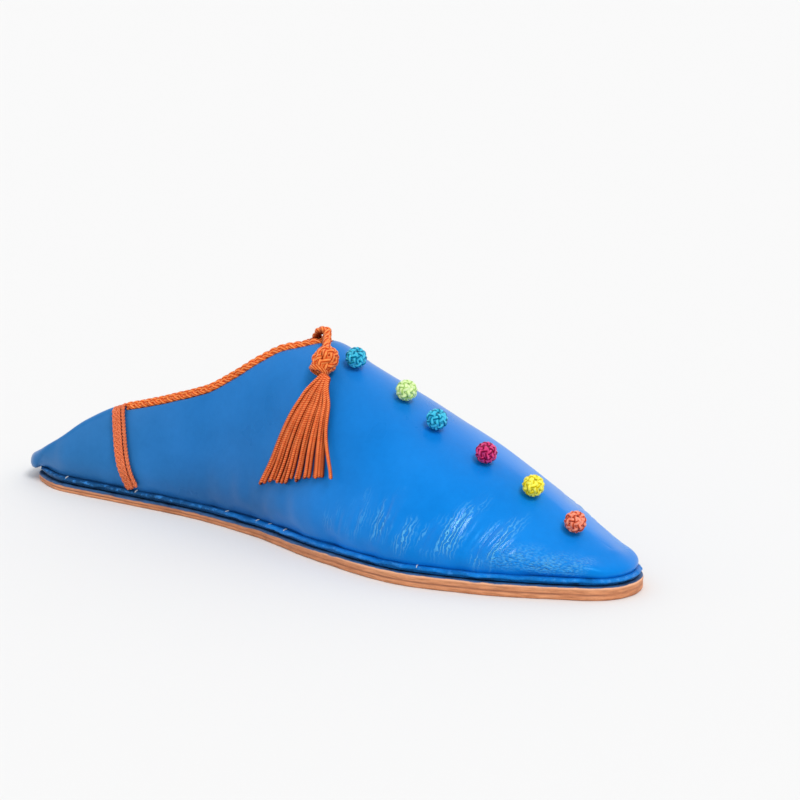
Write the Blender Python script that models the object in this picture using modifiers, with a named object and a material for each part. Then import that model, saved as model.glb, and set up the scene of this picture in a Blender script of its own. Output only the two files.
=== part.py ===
# Babouche slipper: a pointed leather slipper whose back is trodden flat, on a thin leather sole,
# with a plaited silk cord round its collar, a tassel at its throat and silk knot buttons on its ridge.
# X runs to the toe, Y to the wearer's left and Z up. The origin is on the floor, under the middle of the
# slipper's length. Lengths are in metres.
import bisect
import math

import bpy
import bmesh
from mathutils import Vector

# Driving dimensions of the last and of the sole.
SOLE_LENGTH = 0.270
BALL_HALF_WIDTH = 0.043
HEEL_SOLE = 0.0030
FORE_SOLE = 0.0048
SOLE_THICKENS_FROM = 0.30
SOLE_THICKENS_TO = 0.80
SOLE_EDGE_ROUND = 0.0007
CHANNEL_DEPTH = 0.0004
CHANNEL_HEIGHT = 0.38

# The rand, the insole and the clearance that touching pieces keep.
GAP = 0.0003
RAND_THICKNESS = 0.0023
RAND_EDGE_INSET = 0.0006
RAND_WIDTH = 0.0042
RAND_ROUND = 0.0008
INSOLE_THICKNESS = 0.0032

# The upper: its wall, where it stands on the rand, and how far it bellies out over it. Its section is an
# ellipse over the waist and has a sharper ridge at the toe, so the power of its curve falls from 2.
WALL = 0.0015
FOOT_INSET = 0.0036
FOOT_LIFT = 0.0005
BELLY = 0.0024
BELLY_REACH = 0.026
BELLY_SHARE = 0.9
BELLY_LIFT = 0.6
THROAT_HEIGHT = 0.0702
TOE_SECTION_POWER = 1.5
TOE_FAN_START = 0.90
TOE_FAN_DEPTH = 0.0090
TOE_BELLY_LOSS = 0.6
SECTION_SHARPENS_FROM = 0.70
SECTION_SHARP_AT = 0.90

# The counter, the flat back and the side seams.
SEAM_AT = 0.228
SEAM_LEAN = 0.48
LEAN_ENDS_AT = 0.42
SEAM_LAP = 0.0025
SEAM_STEP = 0.0006
COUNTER_HEIGHT = 0.0365
HEEL_OVERHANG = 0.0050
FOLD_RADIUS = 0.00095
LIP_REACH = 0.0018
LIP_OVER_SOLE = 0.0011
LIP_STARTS_INSIDE = 0.0003
BACK_FLATTENS_FROM = 0.085
FLAP_SLOPE = math.radians(48)
FLAP_INWARD = 0.0035

# The silk trims.
BRAID_RADIUS = 0.00165
BRAID_STITCH = 0.0031
BRAID_RELIEF = 0.10
BAND_WIDTH = 0.0060
BAND_THICKNESS = 0.0024
BAND_RISE = 0.0030
BAND_FOOT = 0.0019
BUTTON_RADIUS = 0.0038
BUTTON_SQUASH = 0.94
BUTTON_RELIEF = 0.05

# The tassel: its knot beside the throat, and the fan of strands that lies on the vamp's right side.
# An angle is counted round the vamp's section, from the rand at 0 to the ridge at 90 degrees.
TASSEL_KNOT_RADIUS = 0.0048
TASSEL_KNOT_LENGTHENING = 1.2
TASSEL_KNOT_AT = 0.526
TASSEL_KNOT_ANGLE = math.radians(68.4)
FAN_TOP_AT = 0.541
FAN_TOP_ANGLE = math.radians(64.2)
FAN_TOP_HALF = 0.011
STRAND_RADIUS = 0.00075
STRAND_COUNT = 12
FAN_BACK_AT = 0.466
FAN_FRONT_AT = 0.604
FAN_BACK_ANGLE = math.radians(12.4)
FAN_FRONT_ANGLE = math.radians(25.5)
FAN_BOW = 1.15
SKIRT_STARTS_AT = 0.06
SKIRT_GATHERED_TO = 0.45
SKIRT_THICKNESS = 0.0022
SKIRT_GATHER_THICKNESS = 0.0028
SKIRT_GATHER_LIFT = 0.0022
SKIRT_EDGE_SHARE = 0.45
LOOP_RADIUS = 0.0013
LOOP_REACH = 0.0040
LOOP_STEP = 0.0012

# Half widths of the sole from heel to toe.
# share of the length, share of the ball's half width
OUTLINE = (
    (0.000, 0.000), (0.030, 0.500), (0.100, 0.656), (0.200, 0.618), (0.330, 0.580), (0.450, 0.660),
    (0.600, 0.900), (0.720, 1.000), (0.830, 0.830), (0.930, 0.515), (0.985, 0.275), (1.000, 0.000),
)

# Height of the vamp's ridge over the floor. Behind the throat it is the line that the side walls lean to.
# share of the length, share of the throat's height
RIDGE = (
    (0.000, 0.540), (0.100, 0.580), (0.173, 0.655), (0.207, 0.722), (0.252, 0.822), (0.296, 0.922),
    (0.338, 0.980), (0.378, 0.992), (0.420, 0.996), (0.448, 1.004), (0.477, 1.002), (0.502, 1.000),
    (0.552, 0.915), (0.600, 0.838), (0.633, 0.785), (0.689, 0.685), (0.741, 0.600), (0.815, 0.486),
    (0.852, 0.418), (0.889, 0.342), (0.926, 0.264), (0.962, 0.200), (1.000, 0.163),
)

# Half width of the opening, from the side seam to the throat.
# share of the length, share of the ball's half width
OPENING = (
    (0.150, 0.400), (0.205, 0.400), (0.261, 0.395), (0.329, 0.380), (0.381, 0.338), (0.421, 0.268),
    (0.447, 0.210), (0.470, 0.163), (0.489, 0.096), (0.502, 0.000),
)

# Height over the floor of the folded top of the counter.
# share of the length, share of the counter's height
FOLD = (
    (-0.020, 0.240), (0.000, 0.275), (0.027, 0.355), (0.083, 0.583), (0.120, 0.778), (0.178, 0.990),
    (0.260, 1.100),
)

# The silk buttons from the throat to the toe.
# share of the length, metres to the right of the ridge, colour
BUTTONS = (
    (0.551, 0.0035, "teal"), (0.634, 0.0030, "lime"), (0.694, 0.0060, "teal"),
    (0.778, 0.0055, "magenta"), (0.851, 0.0045, "yellow"), (0.919, 0.0045, "orange"),
)

# name, red, green, blue, roughness
COLOURS = {
    "blue_leather": (0.035, 0.235, 0.690, 0.38),
    "rand_leather": (0.020, 0.130, 0.420, 0.50),
    "sole_leather": (0.560, 0.300, 0.170, 0.60),
    "insole_leather": (0.480, 0.360, 0.260, 0.65),
    "orange_silk": (0.800, 0.190, 0.040, 0.55),
    "teal": (0.020, 0.330, 0.420, 0.55),
    "lime": (0.560, 0.780, 0.130, 0.55),
    "magenta": (0.400, 0.015, 0.130, 0.55),
    "yellow": (0.820, 0.680, 0.030, 0.55),
    "orange": (0.720, 0.140, 0.050, 0.55),
}

HEEL_X = -(SOLE_LENGTH - HEEL_OVERHANG) / 2
TOE_X = HEEL_X + SOLE_LENGTH
RIGHT = -1
LEFT = 1

# Stations and rows of each lofted piece, on one half.
PLATE_STATIONS = 36
SIDE_STATIONS = 14
FORE_STATIONS = 17
VAMP_ROWS = 11
COUNTER_STATIONS = 17
COUNTER_WALL_ROWS = 5
FOLD_ROWS = 5
FLAP_ROWS = 4
OUTLINE_SAMPLES = 600


def clamp(value, low, high):
    return max(low, min(high, value))


def ease(share):
    share = clamp(share, 0.0, 1.0)
    return share * share * (3 - 2 * share)


def smooth_table(rows, at, power=1):
    """A monotone cubic through a table's first two columns. With power 2 it runs through the squares, so that
    a width falls to 0 as a round end does."""
    xs = [row[0] for row in rows]
    ys = [row[1] ** power for row in rows]
    at = clamp(at, xs[0], xs[-1])
    i = clamp(bisect.bisect_right(xs, at) - 1, 0, len(xs) - 2)
    rises = [(ys[k + 1] - ys[k]) / (xs[k + 1] - xs[k]) for k in range(len(xs) - 1)]

    def slope(k):
        if k == 0:
            return rises[0]
        if k == len(xs) - 1:
            return rises[-1]
        before, after = rises[k - 1], rises[k]
        return 0.0 if before * after <= 0 else 2 * before * after / (before + after)

    step = xs[i + 1] - xs[i]
    u = (at - xs[i]) / step
    value = (
        ys[i] * (1 + 2 * u) * (1 - u) ** 2
        + ys[i + 1] * u * u * (3 - 2 * u)
        + step * (slope(i) * u * (1 - u) ** 2 - slope(i + 1) * u * u * (1 - u))
    )
    return max(value, 0.0) ** (1 / power)


def share_of_length(x):
    return (x - HEEL_X) / SOLE_LENGTH


def sole_top(x):
    grown = ease((share_of_length(x) - SOLE_THICKENS_FROM) / (SOLE_THICKENS_TO - SOLE_THICKENS_FROM))
    return HEEL_SOLE + (FORE_SOLE - HEEL_SOLE) * grown


def foot_height(x):
    return sole_top(x) + GAP + RAND_THICKNESS + GAP + FOOT_LIFT


def ridge_height(x):
    return THROAT_HEIGHT * smooth_table(RIDGE, share_of_length(x))


def trace_outline():
    """The sole's left half from the heel's back to the toe's tip: arc lengths, points and outward normals."""
    points = []
    for k in range(OUTLINE_SAMPLES + 1):
        share = 0.5 - 0.5 * math.cos(math.pi * k / OUTLINE_SAMPLES)
        half = BALL_HALF_WIDTH * smooth_table(OUTLINE, share, power=2)
        points.append(Vector((HEEL_X + share * SOLE_LENGTH, half, 0)))
    lengths = [0.0]
    for a, b in zip(points, points[1:]):
        lengths.append(lengths[-1] + (b - a).length)
    normals = []
    for k in range(len(points)):
        along = points[min(k + 1, OUTLINE_SAMPLES)] - points[max(k - 1, 0)]
        normals.append(Vector((-along.y, along.x, 0)).normalized())
    normals[0] = Vector((-1, 0, 0))
    normals[-1] = Vector((1, 0, 0))
    return lengths, points, normals


LENGTHS, POINTS, NORMALS = trace_outline()
HALF_GIRTH = LENGTHS[-1]


def on_outline(girth):
    """The outline's point and outward normal at a share of its half girth, from the heel to the toe."""
    at = clamp(girth, 0.0, 1.0) * HALF_GIRTH
    k = clamp(bisect.bisect_right(LENGTHS, at) - 1, 0, OUTLINE_SAMPLES - 1)
    u = (at - LENGTHS[k]) / (LENGTHS[k + 1] - LENGTHS[k])
    point = POINTS[k].lerp(POINTS[k + 1], u)
    normal = NORMALS[k].lerp(NORMALS[k + 1], u).normalized()
    return point, normal


def girth_at(share):
    """The share of the half girth where the outline passes this share of the sole's length."""
    x = HEEL_X + share * SOLE_LENGTH
    k = clamp(bisect.bisect_right([p.x for p in POINTS], x) - 1, 0, OUTLINE_SAMPLES - 1)
    u = (x - POINTS[k].x) / (POINTS[k + 1].x - POINTS[k].x)
    return (LENGTHS[k] + u * (LENGTHS[k + 1] - LENGTHS[k])) / HALF_GIRTH


def section_power(x):
    length = SECTION_SHARP_AT - SECTION_SHARPENS_FROM
    return 2 + (TOE_SECTION_POWER - 2) * ease((share_of_length(x) - SECTION_SHARPENS_FROM) / length)


def arch(girth, rise):
    """The middle of the upper's wall on the left half. rise is 0 at the rand and 1 at the ridge."""
    point, normal = on_outline(girth)
    foot = point - FOOT_INSET * normal
    fan = clamp((share_of_length(foot.x) - TOE_FAN_START) / (1 - TOE_FAN_START), 0.0, 1.0)
    top_x = foot.x - TOE_FAN_DEPTH * fan**2
    floor = foot_height(foot.x)
    height = ridge_height(top_x) - floor
    lifted = rise * height
    power = section_power(foot.x)
    inward = 1 - max(0.0, 1 - rise**power) ** (1 / power)
    reach = min(BELLY_REACH, BELLY_SHARE * height)
    swell = math.sin(math.pi * min(1.0, lifted / reach) ** BELLY_LIFT) ** 2
    belly = BELLY * (1 - TOE_BELLY_LOSS * fan**2) * swell
    return Vector((
        foot.x + (top_x - foot.x) * inward + normal.x * belly,
        foot.y * (1 - inward) + normal.y * belly,
        floor + lifted,
    ))


def wall_at_height(girth, height):
    """The same wall at a height over the floor instead of a rise."""
    x = on_outline(girth)[0].x
    floor = foot_height(x)
    return arch(girth, clamp((height - floor) / (ridge_height(x) - floor), 0.0, 1.0))


def top_rise(girth):
    """The rise where the wall ends, at the collar, or at the ridge in front of the throat."""
    point, normal = on_outline(girth)
    share = share_of_length(point.x)
    if share >= OPENING[-1][0]:
        return 1.0
    foot = point.y - FOOT_INSET * normal.y
    half = BALL_HALF_WIDTH * smooth_table(OPENING, share, power=2)
    return math.sqrt(max(0.0, 1 - clamp(half / foot, 0.0, 1.0) ** 2))


SEAM_GIRTH = girth_at(SEAM_AT)
LEAN_END_GIRTH = girth_at(LEAN_ENDS_AT)


def leaned(girth, lift, base):
    """The girth that a line from base, slanting back as the side seam does, has reached at this height."""
    behind = ease(base / SEAM_GIRTH)
    ahead = 1 - ease((base - SEAM_GIRTH) / (LEAN_END_GIRTH - SEAM_GIRTH))
    lean = SEAM_LEAN * behind * ahead
    return girth - lean * lift / HALF_GIRTH


def vamp_point(girth, share):
    """A point of the vamp and sides. share runs from the rand up to the collar or the ridge."""
    lift = 0.0
    rise = 0.0
    at = girth
    for _ in range(4):
        rise = math.sin(share * math.asin(top_rise(at)))
        lift = arch(at, rise).z - foot_height(on_outline(at)[0].x)
        at = leaned(girth, lift, girth)
    return arch(at, rise)


def surface_normal(place, girth, share):
    """The outward normal of the surface that place(girth, share) draws on the left half."""
    step = 0.002
    across = place(min(girth + step, 1.0), share) - place(girth - step, share)
    up = place(girth, min(share + step, 1.0)) - place(girth, share - step)
    return up.cross(across).normalized() if across.length > 1e-9 else Vector((0, 0, 1))


def mirrored(point, side):
    return Vector((point.x, side * point.y, point.z))


def material(name):
    red, green, blue, roughness = COLOURS[name]
    made = bpy.data.materials.get(name) or bpy.data.materials.new(name)
    made.use_nodes = True
    shader = made.node_tree.nodes["Principled BSDF"]
    shader.inputs["Base Color"].default_value = (red, green, blue, 1)
    shader.inputs["Roughness"].default_value = roughness
    shader.inputs["Metallic"].default_value = 0.0
    return made


def add_object(name, mesh, colour, collection):
    mesh.materials.append(material(colour))
    mesh.shade_smooth()
    made = bpy.data.objects.new(name, mesh)
    collection.objects.link(made)
    return made


def mesh_from(name, rows, loop_rows=False, loop_columns=False, caps=False):
    """A mesh over a grid of points, given as rows of equal length. Both ways it can close on itself."""
    work = bmesh.new()
    grid = [[work.verts.new(p) for p in row] for row in rows]
    row_count, column_count = len(grid), len(grid[0])
    for i in range(row_count if loop_rows else row_count - 1):
        for j in range(column_count if loop_columns else column_count - 1):
            a, b = grid[i], grid[(i + 1) % row_count]
            k = (j + 1) % column_count
            work.faces.new((a[j], a[k], b[k], b[j]))
    if caps:
        work.faces.new(grid[0][::-1])
        work.faces.new(grid[-1])
    bmesh.ops.remove_doubles(work, verts=work.verts, dist=1e-6)
    bmesh.ops.dissolve_degenerate(work, edges=work.edges, dist=1e-6)
    bmesh.ops.recalc_face_normals(work, faces=work.faces)
    mesh = bpy.data.meshes.new(name)
    work.to_mesh(mesh)
    work.free()
    return mesh


def add_mirror(target):
    mirror = target.modifiers.new("Mirror", "MIRROR")
    mirror.use_axis = (False, True, False)
    mirror.merge_threshold = 0.00005
    return mirror


def plate(name, levels, colour, collection):
    """A flat piece of the sole's outline. levels are its rings from the floor up: inset and height over x."""
    rows = []
    for k in range(PLATE_STATIONS + 1):
        point, normal = on_outline(k / PLATE_STATIONS)
        ring = [point - inset * normal for inset, height in levels]
        row = [Vector((p.x, p.y, height(p.x))) for p, (inset, height) in zip(ring, levels)]
        row.insert(0, Vector((row[0].x, 0, row[0].z)))
        row.append(Vector((row[-1].x, 0, row[-1].z)))
        rows.append(row)
    made = add_object(name, mesh_from(name, rows), colour, collection)
    add_mirror(made)
    return made


def build_outsole(collection):
    groove = CHANNEL_HEIGHT * HEEL_SOLE
    half_groove = CHANNEL_DEPTH
    levels = [
        (SOLE_EDGE_ROUND, lambda x: 0.0),
        (0.0, lambda x: SOLE_EDGE_ROUND),
        (0.0, lambda x: groove + SOLE_EDGE_ROUND - half_groove),
        (CHANNEL_DEPTH, lambda x: groove + SOLE_EDGE_ROUND),
        (0.0, lambda x: groove + SOLE_EDGE_ROUND + half_groove),
        (0.0, lambda x: sole_top(x) - SOLE_EDGE_ROUND),
        (SOLE_EDGE_ROUND, sole_top),
    ]
    return plate("outsole", levels, "sole_leather", collection)


def build_insole(collection):
    """The footbed lies on the sole, inside the rand and the upper's wall."""
    inset = RAND_EDGE_INSET + RAND_WIDTH + GAP
    levels = [
        (inset, lambda x: sole_top(x) + GAP),
        (inset, lambda x: sole_top(x) + GAP + INSOLE_THICKNESS),
    ]
    return plate("insole", levels, "insole_leather", collection)


def build_rand(collection):
    """The strip between sole and upper, with a round outer edge."""
    inner = RAND_EDGE_INSET + RAND_WIDTH
    section = [
        (inner, 0.0), (RAND_EDGE_INSET + RAND_ROUND, 0.0), (RAND_EDGE_INSET, RAND_ROUND),
        (RAND_EDGE_INSET, RAND_THICKNESS - RAND_ROUND), (RAND_EDGE_INSET + RAND_ROUND, RAND_THICKNESS),
        (inner, RAND_THICKNESS),
    ]
    rows = []
    for k in range(PLATE_STATIONS + 1):
        point, normal = on_outline(k / PLATE_STATIONS)
        row = []
        for inset, height in section:
            p = point - inset * normal
            row.append(Vector((p.x, p.y, sole_top(p.x) + GAP + height)))
        rows.append(row)
    made = add_object("rand", mesh_from("rand", rows, loop_columns=True), "rand_leather", collection)
    add_mirror(made)
    return made


def vamp_stations():
    """Girths from just behind the side seam to the toe, closer together at the throat's bend and the tip."""
    first = SEAM_GIRTH - SEAM_LAP / HALF_GIRTH
    throat = girth_at(OPENING[-1][0])
    girths = []
    for k in range(SIDE_STATIONS):
        girths.append(first + (throat - first) * math.sin(math.pi / 2 * k / SIDE_STATIONS) ** 1.15)
    for k in range(FORE_STATIONS + 1):
        share = k / FORE_STATIONS
        girths.append(throat + (1 - throat) * (share + 0.12 * math.sin(math.pi * share) * share))
    return girths


def build_vamp():
    rows = [[vamp_point(girth, j / VAMP_ROWS) for j in range(VAMP_ROWS + 1)] for girth in vamp_stations()]
    for row, girth in zip(rows, vamp_stations()):
        if top_rise(girth) >= 1.0:
            row[-1].y = 0.0
    for point in rows[-1]:
        point.y = 0.0
    return mesh_from("upper", rows)


def wall_end(girth, back, reach, half):
    """The height where the wall ends and its fold starts. FOLD is read where the fold really passes."""
    point, normal = on_outline(girth)
    turn = back * math.pi / 2
    rise = half * math.sin(turn) + math.hypot(half * math.sin(turn), reach * math.cos(turn))
    x = point.x
    for _ in range(5):
        end = COUNTER_HEIGHT * smooth_table(FOLD, share_of_length(x)) - WALL / 2 - rise
        standing = on_outline(leaned(girth, end - foot_height(x), girth))[0].x
        x = standing + (point.x + HEEL_OVERHANG * normal.x - standing) * back
    return end


def counter_column(girth):
    """One line of the counter on the left half: up the wall, over the fold and down or along the flap.
    At the flat back the wall lies down, and hangs over the sole's edge as a lip."""
    point, normal = on_outline(girth)
    back = 1 - ease(share_of_length(point.x) / BACK_FLATTENS_FROM)
    floor = foot_height(point.x)
    inset = SEAM_STEP * (1 - back)
    lip_half = (COUNTER_HEIGHT * FOLD[1][1] - WALL / 2 - HEEL_SOLE - LIP_OVER_SOLE) / 2
    reach = FOLD_RADIUS + (LIP_REACH - FOLD_RADIUS) * back
    half = FOLD_RADIUS + (lip_half - FOLD_RADIUS) * back
    end = wall_end(girth, back, reach, half)
    overhang = HEEL_OVERHANG - WALL / 2 - reach
    outward = Vector((normal.x, normal.y, 0))
    up = Vector((0, 0, 1))
    turn = back * math.pi / 2
    clear = WALL / 2 * (math.sin(turn) - back) * up
    column = []
    for j in range(COUNTER_WALL_ROWS + 1):
        q = j / COUNTER_WALL_ROWS
        side_height = floor + q * (end - floor)
        standing = wall_at_height(leaned(girth, side_height - floor, girth), side_height) - inset * outward
        out = -FOOT_INSET + q * (FOOT_INSET + overhang)
        drooped = ease((out + LIP_STARTS_INSIDE) / (overhang + LIP_STARTS_INSIDE))
        lying_height = floor + WALL / 2 + (end - floor - WALL / 2) * drooped
        lying = Vector((point.x, point.y, lying_height)) + out * outward
        column.append(standing.lerp(lying, back) + clear * (1 - q))
    heading = up * math.cos(turn) + outward * math.sin(turn)
    inner = up * math.sin(turn) - outward * math.cos(turn)
    last = column[-1]
    for j in range(1, FOLD_ROWS + 1):
        angle = math.pi * j / FOLD_ROWS
        column.append(last + half * (1 - math.cos(angle)) * inner + reach * math.sin(angle) * heading)
    start = column[-1]
    length = max(COUNTER_HEIGHT - column[COUNTER_WALL_ROWS].z, 0.0) + WALL
    rest = sole_top(point.x) + GAP + INSOLE_THICKNESS + GAP + WALL / 2
    drop = min(start.z - rest, length * math.sin(FLAP_SLOPE))
    run = math.sqrt(length * length - drop * drop)
    inward = FLAP_INWARD * length / COUNTER_HEIGHT * (1 - back)
    for j in range(1, FLAP_ROWS + 1):
        q = j / FLAP_ROWS
        column.append(start + Vector((run * q, -inward * q, -drop * (1 - (1 - q) ** 2))))
    return column


def build_counter():
    last = SEAM_GIRTH + SEAM_LAP / HALF_GIRTH
    rows = [counter_column(last * k / COUNTER_STATIONS) for k in range(COUNTER_STATIONS + 1)]
    for point in rows[0]:
        point.y = 0.0
    return mesh_from("counter", rows)


def build_upper(collection, helpers):
    """Vamp and counter are two leather pieces. They lap at the side seams and are one wall."""
    upper = add_object("upper", build_vamp(), "blue_leather", collection)
    counter = add_object("counter_piece", build_counter(), "blue_leather", helpers)
    for piece in (upper, counter):
        add_mirror(piece)
        shell = piece.modifiers.new("Wall", "SOLIDIFY")
        shell.thickness = WALL
        shell.offset = 0.0
    counter.hide_render = True
    counter.display_type = "WIRE"
    join = upper.modifiers.new("Lap", "BOOLEAN")
    join.operation = "UNION"
    join.object = counter
    return upper


def tube(name, centres, radius_at, sides, colour, collection, upward=Vector((0, 0, 1))):
    """A closed tube round a line of points. radius_at gives each ring's width and height radii."""
    rows = []
    for k, centre in enumerate(centres):
        along = (centres[min(k + 1, len(centres) - 1)] - centres[max(k - 1, 0)]).normalized()
        side = along.cross(upward).normalized()
        over = side.cross(along)
        wide, high = radius_at(k)
        row = []
        for j in range(sides):
            angle = 2 * math.pi * j / sides
            row.append(centre + side * wide * math.cos(angle) + over * high * math.sin(angle))
        rows.append(row)
    mesh = mesh_from(name, rows, loop_columns=True, caps=True)
    return add_object(name, mesh, colour, collection)


def collar_edge(girth):
    """The collar's edge on the left half and the direction that leads off the edge, in the wall's surface."""
    edge = vamp_point(girth, 1.0)
    step = 0.0015
    along = vamp_point(girth + step, 1.0) - vamp_point(girth - step, 1.0)
    below = vamp_point(girth, 0.9) - edge
    off = -(below - along * (below.dot(along) / along.length_squared))
    return edge, off.normalized()


def band_top_x():
    return vamp_point(SEAM_GIRTH, 1.0).x


def braid_route():
    """The collar cord's middle line from the right seam round the throat to the left seam."""
    clear = BAND_WIDTH / 2 + GAP
    start = SEAM_GIRTH
    while vamp_point(start, 1.0).x < band_top_x() + clear:
        start += 0.0005
    throat = girth_at(OPENING[-1][0])
    half = []
    girth = start
    last = throat - 0.0022
    seat = WALL / 2 + GAP + BRAID_RADIUS
    while girth < last:
        edge, off = collar_edge(girth)
        half.append(edge + off * (BRAID_RADIUS * (1 + BRAID_RELIEF) + GAP))
        girth += BRAID_STITCH / 2 / HALF_GIRTH * (1 if girth < throat - 0.03 else 0.55)
    peak = arch(throat, 1.0) + Vector((-seat, 0, BRAID_RADIUS * 0.5))
    right = [mirrored(p, RIGHT) for p in half]
    return right + [peak] + half[::-1]


def even_points(points, step):
    """Points at even steps along a line of points."""
    lengths = [0.0]
    for a, b in zip(points, points[1:]):
        lengths.append(lengths[-1] + (b - a).length)
    count = max(2, round(lengths[-1] / step))
    made = []
    for k in range(count + 1):
        at = lengths[-1] * k / count
        i = clamp(bisect.bisect_right(lengths, at) - 1, 0, len(points) - 2)
        made.append(points[i].lerp(points[i + 1], (at - lengths[i]) / (lengths[i + 1] - lengths[i])))
    return made


def build_collar_braid(collection):
    """A plait swells at each stitch, on one flank and then on the other."""
    line = even_points(braid_route(), BRAID_STITCH * 0.75)

    def radii(k):
        swell = 1 + BRAID_RELIEF * (1 if k % 2 else -1)
        return BRAID_RADIUS * swell, BRAID_RADIUS * (2 - swell)

    return tube("collar_braid", line, radii, 8, "orange_silk", collection)


def seam_point(height, side):
    """A point on the side seam at a height over the floor, and the wall's outward normal there."""
    x = on_outline(SEAM_GIRTH)[0].x
    girth = leaned(SEAM_GIRTH, height - foot_height(x), SEAM_GIRTH)
    here = wall_at_height(girth, height)
    step = 0.001
    up = wall_at_height(girth, height + step) - here
    across = wall_at_height(girth + step, height) - here
    normal = up.cross(across).normalized()
    return mirrored(here, side), mirrored(normal, side)


def build_side_braid(name, side, collection):
    """The flat plaited band that hides a side seam, from the rand to a little over the collar."""
    low = foot_height(on_outline(SEAM_GIRTH)[0].x) + BAND_FOOT
    high = vamp_point(SEAM_GIRTH, 1.0).z + BAND_RISE
    levels = 13
    seat = WALL / 2 + GAP + BAND_THICKNESS / 2
    rows = []
    for k in range(levels + 1):
        share = k / levels
        height = low + (high - low) * share
        centre, normal = seam_point(height, side)
        centre = centre + normal * seat
        above, _ = seam_point(height + 0.001, side)
        below, _ = seam_point(height - 0.001, side)
        along = (above - below).normalized()
        across = along.cross(normal).normalized()
        narrow = math.sqrt(max(0.0, 1 - max(0.0, (share - 0.9) / 0.1) ** 2 * 0.75))
        row = []
        for j in range(8):
            angle = 2 * math.pi * (j + 0.5) / 8
            flat = math.copysign(abs(math.sin(angle)) ** 0.7, math.sin(angle))
            row.append(
                centre
                + across * (BAND_WIDTH / 2 * narrow * math.cos(angle))
                + normal * (BAND_THICKNESS / 2 * flat)
            )
        rows.append(row)
    mesh = mesh_from(name, rows, loop_columns=True, caps=True)
    return add_object(name, mesh, "orange_silk", collection)


def ridge_place(share, off, side=RIGHT):
    """The outside of the vamp near its ridge, off metres to one side of it, and the outward normal."""
    girth = girth_at(share)
    foot = arch(girth, 0.0)
    power = section_power(foot.x)
    rise = max(0.0, 1 - (off / foot.y) ** power) ** (1 / power)
    here = arch(girth, rise)
    step = 0.0015
    ahead = arch(girth + step, rise) - arch(girth - step, rise)
    inward = arch(girth, max(rise - 0.01, 0)) - here
    if off < 0.001:
        inward = Vector((0, 1, 0))
    normal = ahead.cross(inward)
    if normal.z < 0:
        normal = -normal
    normal = normal.normalized()
    return mirrored(here, side), mirrored(normal, side)


def build_button(name, row, collection):
    """A ball of knotted silk cord. Its lobes are the knot's turns."""
    share, off, colour = row
    place, normal = ridge_place(share, off)
    work = bmesh.new()
    bmesh.ops.create_uvsphere(work, u_segments=12, v_segments=7, radius=BUTTON_RADIUS)
    for vert in work.verts:
        turn = math.atan2(vert.co.y, vert.co.x)
        tilt = math.asin(clamp(vert.co.z / BUTTON_RADIUS, -1.0, 1.0))
        lobes = 1 + BUTTON_RELIEF * math.cos(4 * turn) * math.cos(3 * tilt)
        vert.co = Vector((vert.co.x * lobes, vert.co.y * lobes, vert.co.z * BUTTON_SQUASH))
    mesh = bpy.data.meshes.new(name)
    work.to_mesh(mesh)
    work.free()
    made = add_object(name, mesh, colour, collection)
    made.rotation_mode = "QUATERNION"
    made.rotation_quaternion = normal.to_track_quat("Z", "X")
    made.location = place + normal * (WALL / 2 + GAP + BUTTON_RADIUS * BUTTON_SQUASH)
    return made


def tassel_knot_centre():
    girth = girth_at(TASSEL_KNOT_AT)
    rise = math.sin(TASSEL_KNOT_ANGLE)
    here = arch(girth, rise)
    normal = surface_normal(arch, girth, rise)
    return mirrored(here + normal * (WALL / 2 + GAP + TASSEL_KNOT_RADIUS), RIGHT)


def strand_point(across, down, lift):
    """A point of the fan of strands: across it from its back edge to its front one, down from knot to tips,
    and lifted off the leather."""
    bowed = down**FAN_BOW
    back = girth_at(FAN_TOP_AT - FAN_TOP_HALF + (FAN_BACK_AT - FAN_TOP_AT + FAN_TOP_HALF) * bowed)
    front = girth_at(FAN_TOP_AT + FAN_TOP_HALF + (FAN_FRONT_AT - FAN_TOP_AT - FAN_TOP_HALF) * bowed)
    girth = back + (front - back) * across
    low = FAN_BACK_ANGLE + (FAN_FRONT_ANGLE - FAN_BACK_ANGLE) * across
    rise = math.sin(FAN_TOP_ANGLE + (low - FAN_TOP_ANGLE) * down)
    here = arch(girth, rise)
    normal = surface_normal(arch, girth, rise)
    return mirrored(here + normal * lift, RIGHT)


def build_tassel_skirt(collection):
    """The strands hang as one flat fan on the leather. Each strand is a rib of its outer face."""
    columns = STRAND_COUNT * 3
    levels = 7
    seat = WALL / 2 + GAP
    front, back = [], []
    for k in range(levels + 1):
        down = SKIRT_STARTS_AT + (1 - SKIRT_STARTS_AT) * k / levels
        gathered = 1 - ease(down / SKIRT_GATHERED_TO)
        outer, inner = [], []
        for j in range(columns + 1):
            across = j / columns
            rib = abs(math.sin(math.pi * STRAND_COUNT * across))
            edge = math.sqrt(max(0.0, 1 - (2 * across - 1) ** 6))
            thickness = SKIRT_THICKNESS + gathered * SKIRT_GATHER_THICKNESS
            body = thickness * (SKIRT_EDGE_SHARE + (1 - SKIRT_EDGE_SHARE) * edge)
            rest = seat + gathered * SKIRT_GATHER_LIFT
            outer.append(strand_point(across, down, rest + body + STRAND_RADIUS * rib))
            inner.append(strand_point(across, down, rest))
        front.append(outer)
        back.append(inner)
    rows = [outer + inner[::-1] for outer, inner in zip(front, back)]
    mesh = mesh_from("tassel_skirt", rows, loop_columns=True)
    work = bmesh.new()
    work.from_mesh(mesh)
    bmesh.ops.holes_fill(work, edges=[e for e in work.edges if e.is_boundary], sides=0)
    bmesh.ops.triangulate(work, faces=[f for f in work.faces if len(f.verts) > 4])
    bmesh.ops.recalc_face_normals(work, faces=work.faces)
    work.to_mesh(mesh)
    work.free()
    return add_object("tassel_skirt", mesh, "orange_silk", collection)


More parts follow.
